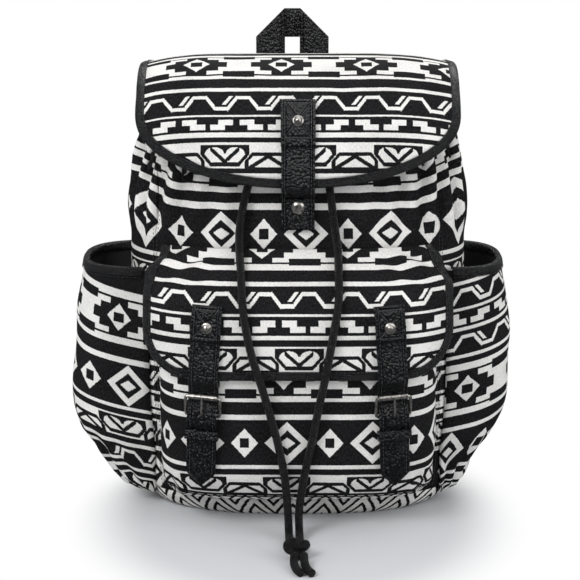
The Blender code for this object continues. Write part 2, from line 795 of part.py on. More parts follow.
def build_flap(canvas, leather, metal):
    turns = [math.sin(math.radians(a)) for a in (0, 14, 28, 42, 54, 65, 75, 83, 90)]
    shares = [-share for share in reversed(turns[1:])] + turns
    grid = apron_grid(shares, 11, flap_end, flap_half)
    inner, edge = free_edge(grid)
    cloth = sheet("top_flap", flap, cells(grid) + strip(inner, edge), CLOTH, canvas)
    binding("flap_binding", flap, edge[1:-1], inner[1:-1], CLOTH, leather)

    lie = CLOTH / 2 + STRAP_CLEARANCE + STRAP_LEATHER / 2
    over = CLOTH / 2 + BINDING_GAP + BINDING_SKIN + STRAP_CLEARANCE + STRAP_LEATHER / 2
    line = []
    for along in spread(9, CLOSING_START, FLAP.length - 0.004):
        climb = ease((along - (FLAP.length - 0.024)) / 0.014)
        line.append(flap(0, along) + normal_of(flap, 0, along) * (lie + 0.0002 + (over - lie) * climb))
    snap_y = -(sack_y(0, SNAP_HEIGHT) + CLOTH / 2 + SNAP_STACK + STRAP_LEATHER / 2 + STRAP_CLEARANCE)
    low = line[-1]
    line += [
        Vector((0, low.y + 0.0008, low.z - 0.0065)),
        Vector((0, snap_y, SNAP_HEIGHT + 0.0085)),
        Vector((0, snap_y, SNAP_HEIGHT + 0.0056)),
        Vector((0, snap_y, SNAP_HEIGHT)),
        Vector((0, snap_y, SNAP_HEIGHT - 0.0080)),
        Vector((0, snap_y + 0.0006, CLOSING_END)),
    ]
    path = smooth_line(line, 2)
    strap = band("closing_strap", path, [CLOSING_WIDTH / 2] * len(path), STRAP_LEATHER, leather)

    step = STRAP_LEATHER / 2 + STRAP_CLEARANCE + TAB_LEATHER / 2
    tab_line = []
    for along in spread(8, CLOSING_START - 0.001, CLOSING_START + CLOSING_TAB):
        tab_line.append(flap(0, along) + normal_of(flap, 0, along) * (lie + 0.0002 + step))
    tab = band("closing_tab", tab_line, [CLOSING_WIDTH / 2 + 0.0005] * len(tab_line), TAB_LEATHER, leather)

    stud_along = CLOSING_START + CLOSING_TAB * 0.45
    out = normal_of(flap, 0, stud_along)
    face = flap(0, stud_along) + out * (lie + step + TAB_LEATHER / 2)
    depth = lie + step + TAB_LEATHER / 2 + CLOTH / 2 + 0.0010
    rivet("closing_stud", face, out, depth, metal, (cloth, strap, tab))

    front = Vector((0, snap_y - STRAP_LEATHER / 2, SNAP_HEIGHT))
    place = Matrix.Translation(front) @ Vector((0, -1, 0)).to_track_quat("Z", "Y").to_matrix().to_4x4()
    reach = STRAP_LEATHER + STRAP_CLEARANCE
    cap = turned(
        "snap_cap",
        (
            (0, 0.0024),
            (SNAP_RADIUS * 0.55, 0.0022),
            (SNAP_RADIUS * 0.88, 0.0016),
            (SNAP_RADIUS, 0.0009),
            (SNAP_RADIUS, STRAP_CLEARANCE),
            (RIVET_RADIUS, STRAP_CLEARANCE),
            (RIVET_RADIUS, -reach),
            (SNAP_RADIUS * 0.85, -reach),
            (SNAP_RADIUS * 0.85, -reach - 0.0022),
            (SNAP_RADIUS * 0.55, -reach - 0.0022),
            (SNAP_RADIUS * 0.50, -reach - 0.0008),
            (0, -reach - 0.0008),
        ),
        16,
        metal,
    )
    cap.data.transform(place)
    drill(strap, place, RIVET_RADIUS + 0.0002, "snap")
    socket = SNAP_RADIUS * 0.50 - 0.0002
    back = reach + 0.0009 + 0.0001
    foot = STRAP_LEATHER + SNAP_STACK
    stud = turned(
        "snap_stud",
        (
            (0, -back),
            (socket, -back),
            (socket, -foot + 0.0009),
            (SNAP_RADIUS * 0.8, -foot + 0.0009),
            (SNAP_RADIUS * 0.8, -foot + 0.0003),
            (0, -foot + 0.0003),
        ),
        16,
        metal,
    )
    stud.data.transform(place)


def drill(obj, place, radius, word):
    """A round hole through one piece, along the Z axis of a placing matrix."""
    hole = turned("drill_" + obj.name + "_" + word, ((0, -0.010), (radius, -0.010), (radius, 0.010), (0, 0.010)), 12, None)
    hole.data.transform(place)
    cut(obj, hole)


def rivet(name, face, out, depth, metal, through):
    """A domed stud whose shank goes through leather and cloth to a small head behind them."""
    place = Matrix.Translation(face) @ out.to_track_quat("Z", "Y").to_matrix().to_4x4()
    radius = STUD_RADIUS
    low = STRAP_CLEARANCE
    head = turned(
        name,
        (
            (0, low + 0.0032),
            (radius * 0.50, low + 0.0028),
            (radius * 0.85, low + 0.0016),
            (radius, low + 0.0003),
            (radius * 0.97, low),
            (RIVET_RADIUS, low),
            (RIVET_RADIUS, -depth - low),
            (radius * 0.62, -depth - low),
            (radius * 0.62, -depth - low - 0.0006),
            (0, -depth - low - 0.0006),
        ),
        14,
        metal,
    )
    head.data.transform(place)
    for piece in through:
        drill(piece, place, RIVET_RADIUS + 0.0002, name)
    return head


def build_pockets(canvas, leather):
    turns = [math.radians(a) for a in (-90, -80, -70, -58, -45, -31, -16, -4, 4, 16, 31, 45, 58, 70, 80, 90)]
    bottom = POCKET_BOTTOM
    heights = [bottom, bottom + 0.0012, bottom + 0.005, bottom + 0.013, bottom + 0.026, 0.068, 0.105, 0.150, POCKET_TOP]
    sheet("front_pocket", pocket, cells([[(turn, height) for turn in turns] for height in heights]), CLOTH, canvas)

    turns = [math.radians(a) for a in (-90, -77, -64, -48, -31, -13, 13, 31, 48, 64, 77, 90)]
    bottom = SIDE_BOTTOM
    heights = [bottom, bottom + 0.0015, bottom + 0.007, bottom + 0.019, bottom + 0.038, 0.085, 0.125, 0.170, SIDE_TOP - BINDING_WIDTH, SIDE_TOP]
    for side, word in ((-1, "left"), (1, "right")):
        surface = side_pocket(side)
        rows = [[(turn, height) for turn in turns] for height in heights]
        sheet("side_pocket_" + word, surface, cells(rows), CLOTH, canvas)
        short = math.radians(3)
        ends = [turns[0] + short, *turns[1:-1], turns[-1] - short]
        rim, under = ([(turn, height) for turn in ends] for height in (SIDE_TOP, SIDE_TOP - BINDING_WIDTH))
        binding("side_pocket_binding_" + word, surface, rim, under, CLOTH, leather)

    flat = 1 - LID_CORNER / (LID_HALF_WIDTH - BINDING_WIDTH)
    round_share = [flat + (1 - flat) * math.sin(math.radians(a)) for a in (0, 20, 40, 58, 75, 90)]
    shares = [0.0, flat * 0.22, flat * 0.43, flat * 0.63, flat * 0.82] + round_share
    shares = [-share for share in reversed(shares[1:])] + shares
    grid = apron_grid(shares, 8, lid_end, lid_half)
    inner, edge = free_edge(grid)
    cover = sheet("pocket_flap", lid, cells(grid) + strip(inner, edge), CLOTH, canvas)
    binding("pocket_flap_binding", lid, edge[1:-1], inner[1:-1], CLOTH, leather)
    return cover


def strap_frame(side):
    """Placing matrix of one buckle: X along the bars, -Y forwards off the pocket, Z up the strap."""
    turn = math.asin((STRAP_X / POCKET_HALF_WIDTH) ** (BOX_CORNER / 2))
    point = pocket(side * turn, BAR_HEIGHT)
    return (
        Matrix.Translation(point)
        @ Matrix.Rotation(side * STRAP_TURN, 4, "Z")
        @ Matrix.Rotation(-side * STRAP_TILT, 4, "Y")
    )


def sag(rise):
    turn = math.asin((STRAP_X / POCKET_HALF_WIDTH) ** (BOX_CORNER / 2))
    return pocket(turn, BAR_HEIGHT + rise).y - pocket(turn, BAR_HEIGHT).y


def lid_out(height):
    """How far the pocket flap's cloth stands in front of the buckle frame's origin at a height."""
    turn = math.asin((STRAP_X / POCKET_HALF_WIDTH) ** (BOX_CORNER / 2))
    wrap = LID_WRAP * (STRAP_X / LID_HALF_WIDTH) ** 5
    return -(LID.y_at(height) + wrap) + pocket(turn, BAR_HEIGHT).y


def build_buckles(cover, leather, metal):
    base_run = CLOTH / 2 + STRAP_CLEARANCE + BASE_LEATHER / 2
    bar_out = base_run + BASE_LEATHER / 2 + STRAP_CLEARANCE + WIRE_RADIUS
    fold_out = bar_out + WIRE_RADIUS + STRAP_CLEARANCE + BASE_LEATHER / 2
    over_bar = fold_out + BASE_LEATHER / 2 + STRAP_CLEARANCE + STRAP_LEATHER / 2
    under_roller = base_run + 0.0028
    roller_out = under_roller + STRAP_LEATHER / 2 + 0.0004 + ROLLER_RADIUS
    keeper_back = base_run + BASE_LEATHER / 2 + STRAP_CLEARANCE
    in_keeper = keeper_back + KEEPER_LEATHER + KEEPER_ROOM + STRAP_LEATHER / 2
    tilt = math.atan2(roller_out - bar_out, BUCKLE_LENGTH)

    for side, word in ((-1, "left"), (1, "right")):
        place = strap_frame(side)
        across = place.to_3x3() @ Vector((1, 0, 0))

        def at(rise, out):
            return place @ Vector((0, -out, rise))

        on_lid = CLOTH / 2 + STRAP_CLEARANCE + STRAP_LEATHER / 2
        on_edge = CLOTH / 2 + BINDING_GAP + BINDING_SKIN + STRAP_CLEARANCE + STRAP_LEATHER / 2 + 0.0006
        line = []
        for height, lift in ((0.201, on_lid), (0.192, on_lid), (0.182, on_lid), (0.170, on_lid), (0.160, on_lid + 0.0008)):
            line.append(at(height - BAR_HEIGHT, lid_out(height) + lift))
        for height in (0.1500, 0.1440, 0.1385):
            line.append(at(height - BAR_HEIGHT, lid_out(0.1420) + on_edge))
        line += [
            at(0.0250, 0.5 * (lid_out(0.142) + on_edge + under_roller) - 0.0008),
            at(BUCKLE_LENGTH, under_roller),
            at(0.0120, under_roller + 0.0004),
            at(0.0055, over_bar - 0.0010),
            at(0.0020, over_bar + 0.0001),
            at(-0.0030, over_bar + 0.0001),
            at(-0.0060, over_bar - 0.0001),
            at(-0.0095, in_keeper + 0.0012),
            at(KEEPER_RISE + KEEPER_HEIGHT / 2, in_keeper + 0.0001),
            at(KEEPER_RISE - KEEPER_HEIGHT / 2, in_keeper - 0.0001),
            at(-0.0260, in_keeper - 0.0008 - sag(-0.0260)),
            at(-0.0380, in_keeper - 0.0012 - sag(-0.0380)),
            at(-0.0500, in_keeper - 0.0010 - sag(-0.0500)),
            at(-0.0625, in_keeper + 0.0010 - sag(-0.0625)),
        ]
        path = smooth_line(line, 2)
        run = [(point - path[-1]).length for point in path]
        half_widths = [STRAP_WIDTH / 2 * min(1.0, 0.18 + 0.82 * min(1.0, r / STRAP_POINT)) for r in run]
        strap = band("buckle_strap_" + word, path, half_widths, STRAP_LEATHER, leather, across)

        low = -0.0012
        slot = box("slot_" + word, (-0.0019, -over_bar - 0.004, low), (0.0019, -under_roller, low + SLOT_LENGTH))
        slot.data.transform(place)
        cut(strap, slot)

        step = STRAP_LEATHER / 2 + STRAP_CLEARANCE + TAB_LEATHER / 2
        tab_line = []
        for height in (0.2015, 0.196, 0.190, 0.184, 0.178, 0.1725):
            tab_line.append(at(height - BAR_HEIGHT, lid_out(height) + on_lid + step))
        tab = band("strap_tab_" + word, tab_line, [STRAP_WIDTH / 2] * len(tab_line), TAB_LEATHER, leather, across)
        stud_height = 0.1840
        stud_along = LID.along_at(stud_height)
        stud_x = at(stud_height - BAR_HEIGHT, 0).x
        out = normal_of(lid, stud_x, stud_along)
        stack = on_lid + step + TAB_LEATHER / 2 + 0.0006
        face = lid(stud_x, stud_along) + out * stack
        depth = stack + CLOTH / 2 + 0.0004
        rivet("strap_stud_" + word, face, out, depth, metal, (cover, strap, tab))

        bend = WIRE_RADIUS + STRAP_CLEARANCE + BASE_LEATHER / 2
        loop = [at(rise, base_run + 0.0008 - sag(rise)) for rise in (-0.0580, -0.0545, -0.0500, -0.0400, -0.0300)]
        loop += [at(rise, base_run) for rise in (-0.0200, -0.0100, 0.0)]
        for degrees in (30, 60, 90, 120, 150):
            turn = math.radians(degrees)
            loop.append(at(bend * math.sin(turn), bar_out - bend * math.cos(turn)))
        loop += [at(rise, fold_out) for rise in (0.0, -0.0025, -0.0050)]
        half_widths = [BASE_STRAP_WIDTH / 2 * share for share in (0.36, 0.68, 0.95)] + [BASE_STRAP_WIDTH / 2] * (len(loop) - 3)
        base = band("base_strap_" + word, loop, half_widths, BASE_LEATHER, leather, across)
        notch = box("notch_" + word, (-0.0020, -over_bar, -0.0045), (0.0020, 0.004, 0.0060))
        notch.data.transform(place)
        cut(base, notch)

        inner = STRAP_WIDTH / 2 + STRAP_CLEARANCE
        outer = inner + KEEPER_LEATHER
        deep = in_keeper + STRAP_LEATHER / 2 + KEEPER_ROOM
        sections = []
        for x_in, x_out, y_in, y_out in (
            (-inner, -outer, keeper_back + KEEPER_LEATHER, keeper_back),
            (inner, outer, keeper_back + KEEPER_LEATHER, keeper_back),
            (inner, outer, deep, deep + KEEPER_LEATHER),
            (-inner, -outer, deep, deep + KEEPER_LEATHER),
        ):
            low, high = KEEPER_RISE - KEEPER_HEIGHT / 2, KEEPER_RISE + KEEPER_HEIGHT / 2
            sections.append(
                [
                    place @ Vector((x_in, -y_in, low)),
                    place @ Vector((x_out, -y_out, low)),
                    place @ Vector((x_out, -y_out, high)),
                    place @ Vector((x_in, -y_in, high)),
                ]
            )
        sweep("keeper_" + word, sections, leather, closed=True)

        pivot = place @ Matrix.Translation((0, -bar_out, 0))
        frame_place = pivot @ Matrix.Rotation(tilt, 4, "X")
        length = math.hypot(roller_out - bar_out, BUCKLE_LENGTH)
        corner = 0.0022
        wire = []
        for cx, cz, start in (
            (BUCKLE_HALF_WIDTH - corner, corner, -90),
            (BUCKLE_HALF_WIDTH - corner, length - corner, 0),
            (-BUCKLE_HALF_WIDTH + corner, length - corner, 90),
            (-BUCKLE_HALF_WIDTH + corner, corner, 180),
        ):
            for k in range(4):
                turn = math.radians(start + 30 * k)
                wire.append(Vector((cx + corner * math.cos(turn), 0, cz + corner * math.sin(turn))))
        frame = tube("buckle_frame_" + word, wire, WIRE_RADIUS, metal, sides=10, closed=True)
        frame.matrix_world = frame_place

        half = BUCKLE_HALF_WIDTH - corner - 0.0003
        inner = WIRE_RADIUS + RUNNING_CLEARANCE
        roller = turned(
            "buckle_roller_" + word,
            ((inner, -half), (ROLLER_RADIUS, -half), (ROLLER_RADIUS, half), (inner, half)),
            18,
            metal,
            ring=True,
        )
        roller.data.transform(Matrix.Rotation(math.radians(90), 4, "Y"))
        roller.matrix_world = frame_place @ Matrix.Translation((0, 0, length))

        ring_out = inner + 0.0009
        ring = turned(
            "buckle_prong_" + word,
            ((inner, -PRONG_WIDTH / 2), (ring_out, -PRONG_WIDTH / 2), (ring_out, PRONG_WIDTH / 2), (inner, PRONG_WIDTH / 2)),
            12,
            metal,
            ring=True,
        )
        ring.data.transform(Matrix.Rotation(math.radians(90), 4, "Y"))
        tip_out = ROLLER_RADIUS + RUNNING_CLEARANCE + PRONG_RADIUS + 0.0002
        shank = smooth_line(
            [
                Vector((0, -ring_out + 0.0003, 0.0008)),
                Vector((0, -0.0046, 0.0036)),
                Vector((0, -0.0056, 0.0075)),
                Vector((0, -0.0046, 0.0125)),
                Vector((0, -tip_out, length)),
                Vector((0, -tip_out - 0.0001, length + 0.0016)),
            ],
            2,
        )
        rod = tube("shank_" + word, shank, PRONG_RADIUS, metal, sides=8)
        rod.parent = ring
        join(ring, rod)
        ring.matrix_world = frame_place


def plate(name, outline, low, high, material):
    """A flat piece from an outline in X and Z, between two values of Y."""
    rows = [[Vector((x, y, z)) for x, z in outline] for y in (low, high)]
    return sweep(name, rows, material, angle=math.radians(20))


def build_handle(leather):
    inner = HANDLE_WINDOW / 2
    outer = inner + HANDLE_STRAP
    fold = HANDLE_TOP - HANDLE_STRAP
    back = HANDLE_Y + HANDLE_LEATHER
    bar = plate(
        "grab_handle",
        [(HANDLE_X + x, z) for x, z in ((-outer, fold), (outer, fold), (inner, HANDLE_TOP), (-inner, HANDLE_TOP))],
        back - 0.0001,
        back + HANDLE_LEATHER,
        leather,
    )
    for side in (-1, 1):
        outline = ((inner, HANDLE_FOOT), (outer, HANDLE_FOOT), (outer, fold), (inner, HANDLE_TOP))
        leg = plate("leg", [(HANDLE_X + side * x, z) for x, z in outline], HANDLE_Y, back, leather)
        join(bar, leg)


def build_shoulder_straps(canvas, leather, plastic):
    for side, word in ((-1, "left"), (1, "right")):
        path = smooth_line([(side * x, y, z) for x, y, z in SHOULDER_LINE], 3)
        half = SHOULDER_WIDTH / 2
        half_widths = [half * (0.72 if i == len(path) - 1 else 0.9 if i == len(path) - 2 else 1.0) for i in range(len(path))]
        band("shoulder_strap_" + word, path, half_widths, SHOULDER_PAD, canvas)

        x, y, z = LOCK_AT
        half_lock = LOCK_LENGTH / 2
        centre = Vector((side * x, y, z))
        size = Vector((LOCK_WIDTH / 2, LOCK_PLATE / 2, half_lock))
        lock = box("ladder_lock_" + word, centre - size, centre + size, plastic)
        window = LOCK_WIDTH / 2 - 0.0025
        slot_height = (LOCK_LENGTH - 3 * LOCK_RAIL) / 2
        for k, low in enumerate((-half_lock + LOCK_RAIL, LOCK_RAIL / 2)):
            reach = Vector((window, LOCK_PLATE, 0))
            bottom = centre + Vector((0, 0, low)) - reach
            top = centre + Vector((0, 0, low + slot_height)) + reach
            cut(lock, box("lock_slot_" + word + str(k), bottom, top))

        half_web = WEBBING_CLOTH / 2
        clear = LOCK_PLATE / 2 + STRAP_CLEARANCE + half_web
        pad = SHOULDER_PAD / 2 * 1.03 + STRAP_CLEARANCE + half_web + 0.0003
        rail = z + half_lock - LOCK_RAIL
        loop = [
            (pad + 0.0012, 0.147), (pad + 0.0004, 0.136), (pad, 0.1285), (clear + 0.0006, rail + 0.0060), (clear + 0.0001, rail),
            (clear - 0.0003, rail - 0.0008), (clear - 0.0011, rail - 0.0012), (0.0006, rail - 0.0012),
        ]
        loop += [(-out, height) for out, height in reversed(loop)]
        points = []
        for out, height in loop:
            lean = max(0.0, height - 0.128) * 0.215
            points.append(Vector((side * (x - lean), y + lean + out, height)))
        band("lock_loop_" + word, points, [WEBBING_WIDTH / 2] * len(points), WEBBING_CLOTH, canvas)

        tail = clear
        behind = clear + WEBBING_CLOTH + STRAP_CLEARANCE
        wind = [
            (-behind, z - 0.0150), (-behind, z - 0.0050), (-behind + 0.0004, z + 0.0015), (-0.0024, z + 0.0046), (0.0, z + 0.0052),
            (0.0022, z + 0.0046), (clear + 0.0002, z + 0.0022), (clear + 0.0002, z - 0.0015), (0.0022, z - 0.0052), (0.0, z - 0.0062),
            (-0.0020, z - 0.0075), (-tail, z - 0.0110), (-tail, z - 0.0160), (-tail, z - 0.0240), (-tail + 0.0006, TAIL_END),
        ]
        foot = Vector((side * WEBBING_FOOT[0], WEBBING_FOOT[1], WEBBING_FOOT[2]))
        first = Vector((side * x, y + wind[0][0], wind[0][1]))
        points = [foot, foot.lerp(first, 0.35) + Vector((0, -0.0006, 0)), foot.lerp(first, 0.72) + Vector((0, -0.0005, 0))]
        points += [Vector((side * x, y + out, height)) for out, height in wind]
        band("shoulder_webbing_" + word, points, [WEBBING_WIDTH / 2] * len(points), WEBBING_CLOTH, canvas)


clear_scene()
canvas = principled("canvas", CANVAS, 0.9)
leather = principled("leather", LEATHER, 0.5)
metal = principled("nickel", NICKEL, 0.3, 1.0)
cord = principled("cord", CORD_BLACK, 0.45)
plastic = principled("plastic", PLASTIC, 0.45)

build_sack(canvas)
build_hem(canvas, metal, cord)
build_drawstring(cord)
build_flap(canvas, leather, metal)
cover = build_pockets(canvas, leather)
build_buckles(cover, leather, metal)
build_handle(leather)
build_shoulder_straps(canvas, leather, plastic)
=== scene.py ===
import math

import bmesh
import bpy
from mathutils import Matrix, Vector, noise


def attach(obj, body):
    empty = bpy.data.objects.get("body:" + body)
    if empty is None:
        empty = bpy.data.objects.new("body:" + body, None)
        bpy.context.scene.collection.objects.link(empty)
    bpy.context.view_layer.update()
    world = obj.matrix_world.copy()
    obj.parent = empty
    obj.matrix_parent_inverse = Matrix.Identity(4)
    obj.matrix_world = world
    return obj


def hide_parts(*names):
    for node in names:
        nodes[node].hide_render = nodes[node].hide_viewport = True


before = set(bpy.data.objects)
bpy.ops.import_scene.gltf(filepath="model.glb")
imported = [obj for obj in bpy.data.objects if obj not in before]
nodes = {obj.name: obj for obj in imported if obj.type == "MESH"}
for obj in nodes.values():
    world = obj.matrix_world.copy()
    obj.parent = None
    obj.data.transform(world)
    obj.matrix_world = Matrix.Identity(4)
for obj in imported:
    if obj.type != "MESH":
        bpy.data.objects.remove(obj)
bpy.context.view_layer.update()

scene = bpy.context.scene
scene.view_settings.view_transform = "Standard"

# The photographer's floor, light and camera.
# Paper painted bluish grey round the bag as a painted shadow, deeper in front, fades to white past it, under a large
# soft window at the upper left and two weaker ones.
# Shiny surfaces mirror a darker floor and room than the ones that light the cloth. The camera looks down by fifteen
# degrees.
CAMERA_LENS = 113.5
CAMERA_AT = (-0.0066, -1.5455, 0.5971)
CAMERA_AIM = (-0.0066, 0.0, 0.183)
SHADOW_MIDDLE = (0.0, -0.07)
SHADOW_SIZE = (0.150, 0.165)
SHADOW_REACH = (0.85, 1.35)


def plain_object(name, mesh):
    obj = bpy.data.objects.new(name, mesh)
    scene.collection.objects.link(obj)
    return obj


bpy.ops.object.select_all(action="DESELECT")
bpy.ops.mesh.primitive_plane_add(size=40.0)
paper = bpy.context.object
paper.name = "paper_floor"
paper_finish = bpy.data.materials.new("paper_floor")
paper_finish.use_nodes = True
tree = paper_finish.node_tree
tree.nodes.clear()
output = tree.nodes.new("ShaderNodeOutputMaterial")
lit = tree.nodes.new("ShaderNodeBsdfDiffuse")
shaded_paper_tone = tree.nodes.new("ShaderNodeMix")
shaded_paper_tone.data_type = "RGBA"
# Painted shadow: the paper's bluish grey darkens the floor round the bag on top of the lamps' own shadows.
shaded_paper_tone.inputs["A"].default_value = (0.60, 0.612, 0.63, 1.0)
shaded_paper_tone.inputs["B"].default_value = (0.14, 0.142, 0.146, 1.0)
tree.links.new(shaded_paper_tone.outputs["Result"], lit.inputs["Color"])
white = tree.nodes.new("ShaderNodeEmission")
white.inputs["Color"].default_value = (1.0, 1.0, 1.0, 1.0)
place = tree.nodes.new("ShaderNodeTexCoord")
spread_out = tree.nodes.new("ShaderNodeMapping")
spread_out.inputs["Location"].default_value = (
    -SHADOW_MIDDLE[0] / SHADOW_SIZE[0], -SHADOW_MIDDLE[1] / SHADOW_SIZE[1], 0.0
)
spread_out.inputs["Scale"].default_value = (1 / SHADOW_SIZE[0], 1 / SHADOW_SIZE[1], 0.0)
reach = tree.nodes.new("ShaderNodeVectorMath")
reach.operation = "LENGTH"
fade = tree.nodes.new("ShaderNodeMapRange")
fade.interpolation_type = "SMOOTHSTEP"
fade.inputs["From Min"].default_value = SHADOW_REACH[0]
fade.inputs["From Max"].default_value = SHADOW_REACH[1]
seen = tree.nodes.new("ShaderNodeLightPath")
tree.links.new(seen.outputs["Is Glossy Ray"], shaded_paper_tone.inputs["Factor"])
share = tree.nodes.new("ShaderNodeMath")
share.operation = "MULTIPLY"
mix = tree.nodes.new("ShaderNodeMixShader")
tree.links.new(place.outputs["Object"], spread_out.inputs["Vector"])
tree.links.new(spread_out.outputs["Vector"], reach.inputs[0])
tree.links.new(reach.outputs["Value"], fade.inputs["Value"])
tree.links.new(fade.outputs["Result"], share.inputs[0])
tree.links.new(seen.outputs["Is Camera Ray"], share.inputs[1])
tree.links.new(share.outputs[0], mix.inputs["Fac"])
tree.links.new(lit.outputs[0], mix.inputs[1])
tree.links.new(white.outputs[0], mix.inputs[2])
tree.links.new(mix.outputs[0], output.inputs["Surface"])
paper.data.materials.append(paper_finish)

world = bpy.data.worlds.new("studio")
scene.world = world
world.use_nodes = True
tree = world.node_tree
sky = tree.nodes["Background"]
sky.inputs["Color"].default_value = (1.0, 1.0, 1.0, 1.0)
way = tree.nodes.new("ShaderNodeTexCoord")
height = tree.nodes.new("ShaderNodeSeparateXYZ")
ceiling = tree.nodes.new("ShaderNodeMapRange")
ceiling.inputs["From Min"].default_value = -0.05
ceiling.inputs["From Max"].default_value = 0.75
ceiling.inputs["To Min"].default_value = 0.20
ceiling.inputs["To Max"].default_value = 0.95
dark_room = tree.nodes.new("ShaderNodeMapRange")
dark_room.inputs["From Min"].default_value = 0.30
dark_room.inputs["From Max"].default_value = 0.95
dark_room.inputs["To Min"].default_value = 0.02
dark_room.inputs["To Max"].default_value = 1.4
tree.links.new(way.outputs["Generated"], height.inputs[0])
tree.links.new(height.outputs["Z"], ceiling.inputs["Value"])
tree.links.new(height.outputs["Z"], dark_room.inputs["Value"])
straight = tree.nodes.new("ShaderNodeLightPath")
mirrored = tree.nodes.new("ShaderNodeMix")
tree.links.new(straight.outputs["Is Glossy Ray"], mirrored.inputs["Factor"])
tree.links.new(ceiling.outputs["Result"], mirrored.inputs["A"])
tree.links.new(dark_room.outputs["Result"], mirrored.inputs["B"])
shown = tree.nodes.new("ShaderNodeMix")
shown.inputs["B"].default_value = 1.0
tree.links.new(straight.outputs["Is Camera Ray"], shown.inputs["Factor"])
tree.links.new(mirrored.outputs["Result"], shown.inputs["A"])
tree.links.new(shown.outputs["Result"], sky.inputs["Strength"])

for name, at, width, power in (
    ("window_left", (-1.3, -1.7, 1.9), 1.0, 35.0),
    ("window_right", (1.8, -1.3, 1.2), 1.2, 14.0),
    ("window_back", (0.3, 1.7, 1.7), 1.4, 22.0),
):
    lamp = bpy.data.lights.new(name, "AREA")
    lamp.size = width
    lamp.energy = power
    window = bpy.data.objects.new(name, lamp)
    scene.collection.objects.link(window)
    window.location = at
    window.rotation_euler = (Vector((0, 0, 0.18)) - Vector(at)).to_track_quat("-Z", "Y").to_euler()

lens = bpy.data.cameras.new("camera")
lens.lens = CAMERA_LENS
lens.sensor_width = 36.0
camera = bpy.data.objects.new("camera", lens)
scene.collection.objects.link(camera)
camera.location = CAMERA_AT
camera.rotation_euler = (Vector(CAMERA_AIM) - Vector(CAMERA_AT)).to_track_quat("-Z", "Y").to_euler()
scene.camera = camera

# Drawstring: a leather lace sewn round a core, run through the mouth's hem and out of two eyelets.
# Both ends hang down the front to one overhand knot on the floor, with two cut tails past it. The pieces that stand
# in the hem and in the eyelets are the frame's own.
LACE_DIAMETER = 0.0068
LACE_EXIT = (
    (0.02955, -0.04871, 0.35178), (0.0297, -0.05154, 0.35384), (0.02985, -0.05453, 0.35601),
    (0.02997, -0.05696, 0.35717),
)
LACE_LEFT = (
    (-0.0330, -0.0630, 0.3515), (-0.0355, -0.0695, 0.3380), (-0.0380, -0.0738, 0.3200), (-0.0392, -0.0757, 0.3000),
    (-0.0445, -0.0785, 0.2780), (-0.0480, -0.0815, 0.2560), (-0.0480, -0.0895, 0.2405), (-0.0465, -0.1075, 0.2255),
    (-0.0450, -0.1245, 0.2050), (-0.0420, -0.1290, 0.1830), (-0.0370, -0.1308, 0.1600), (-0.0310, -0.1315, 0.1410),
    (-0.0240, -0.1275, 0.1150), (-0.0165, -0.1250, 0.0850), (-0.0110, -0.1232, 0.0550), (-0.0085, -0.1205, 0.0260),
    (-0.0077, -0.1228, 0.0105), (-0.0074, -0.1275, 0.0060), (-0.0070, -0.1370, 0.0042), (-0.0060, -0.1460, 0.0046),
    (-0.0054, -0.1542, 0.0058),
)
LACE_RIGHT = (
    (0.0305, -0.0630, 0.3515), (0.0290, -0.0695, 0.3380), (0.0265, -0.0738, 0.3200), (0.0250, -0.0757, 0.3000),
    (0.0275, -0.0785, 0.2780), (0.0305, -0.0815, 0.2560), (0.0325, -0.0895, 0.2405), (0.0330, -0.1075, 0.2255),
    (0.0325, -0.1245, 0.2050), (0.0290, -0.1290, 0.1830), (0.0250, -0.1308, 0.1600), (0.0215, -0.1315, 0.1410),
    (0.0165, -0.1275, 0.1150), (0.0110, -0.1250, 0.0850), (0.0050, -0.1232, 0.0550), (0.0010, -0.1205, 0.0260),
    (0.0010, -0.1228, 0.0105), (0.0013, -0.1275, 0.0060), (0.0018, -0.1370, 0.0042), (0.0026, -0.1455, 0.0046),
    (0.0032, -0.1534, 0.0058),
)
KNOT_CENTRE = (-0.0012, -0.1642, 0.0107)
TAIL_LEFT = (
    (-0.0030, -0.1750, 0.0085), (-0.0034, -0.1830, 0.0050), (-0.0016, -0.1920, 0.0036), (0.0020, -0.2000, 0.0036)
)
TAIL_RIGHT = (
    (0.0046, -0.1747, 0.0085), (0.0052, -0.1830, 0.0050), (0.0072, -0.1920, 0.0036), (0.0108, -0.2005, 0.0036)
)


def smooth_line(points, per_span=8):
    """A smooth line through the given points, with so many steps from each to the next."""
    points = [Vector(p) for p in points]
    ends = [2 * points[0] - points[1]] + points + [2 * points[-1] - points[-2]]
    line = []
    for a, b, c, d in zip(ends, ends[1:], ends[2:], ends[3:]):
        for k in range(per_span):
            t = k / per_span
            bend = (2 * a - 5 * b + 4 * c - d) * t**2 + (3 * b - a - 3 * c + d) * t**3
            line.append(0.5 * (2 * b + (c - a) * t + bend))
    line.append(points[-1])
    return line


def distances(line):
    run = [0.0]
    for a, b in zip(line, line[1:]):
        run.append(run[-1] + (b - a).length)
    return run


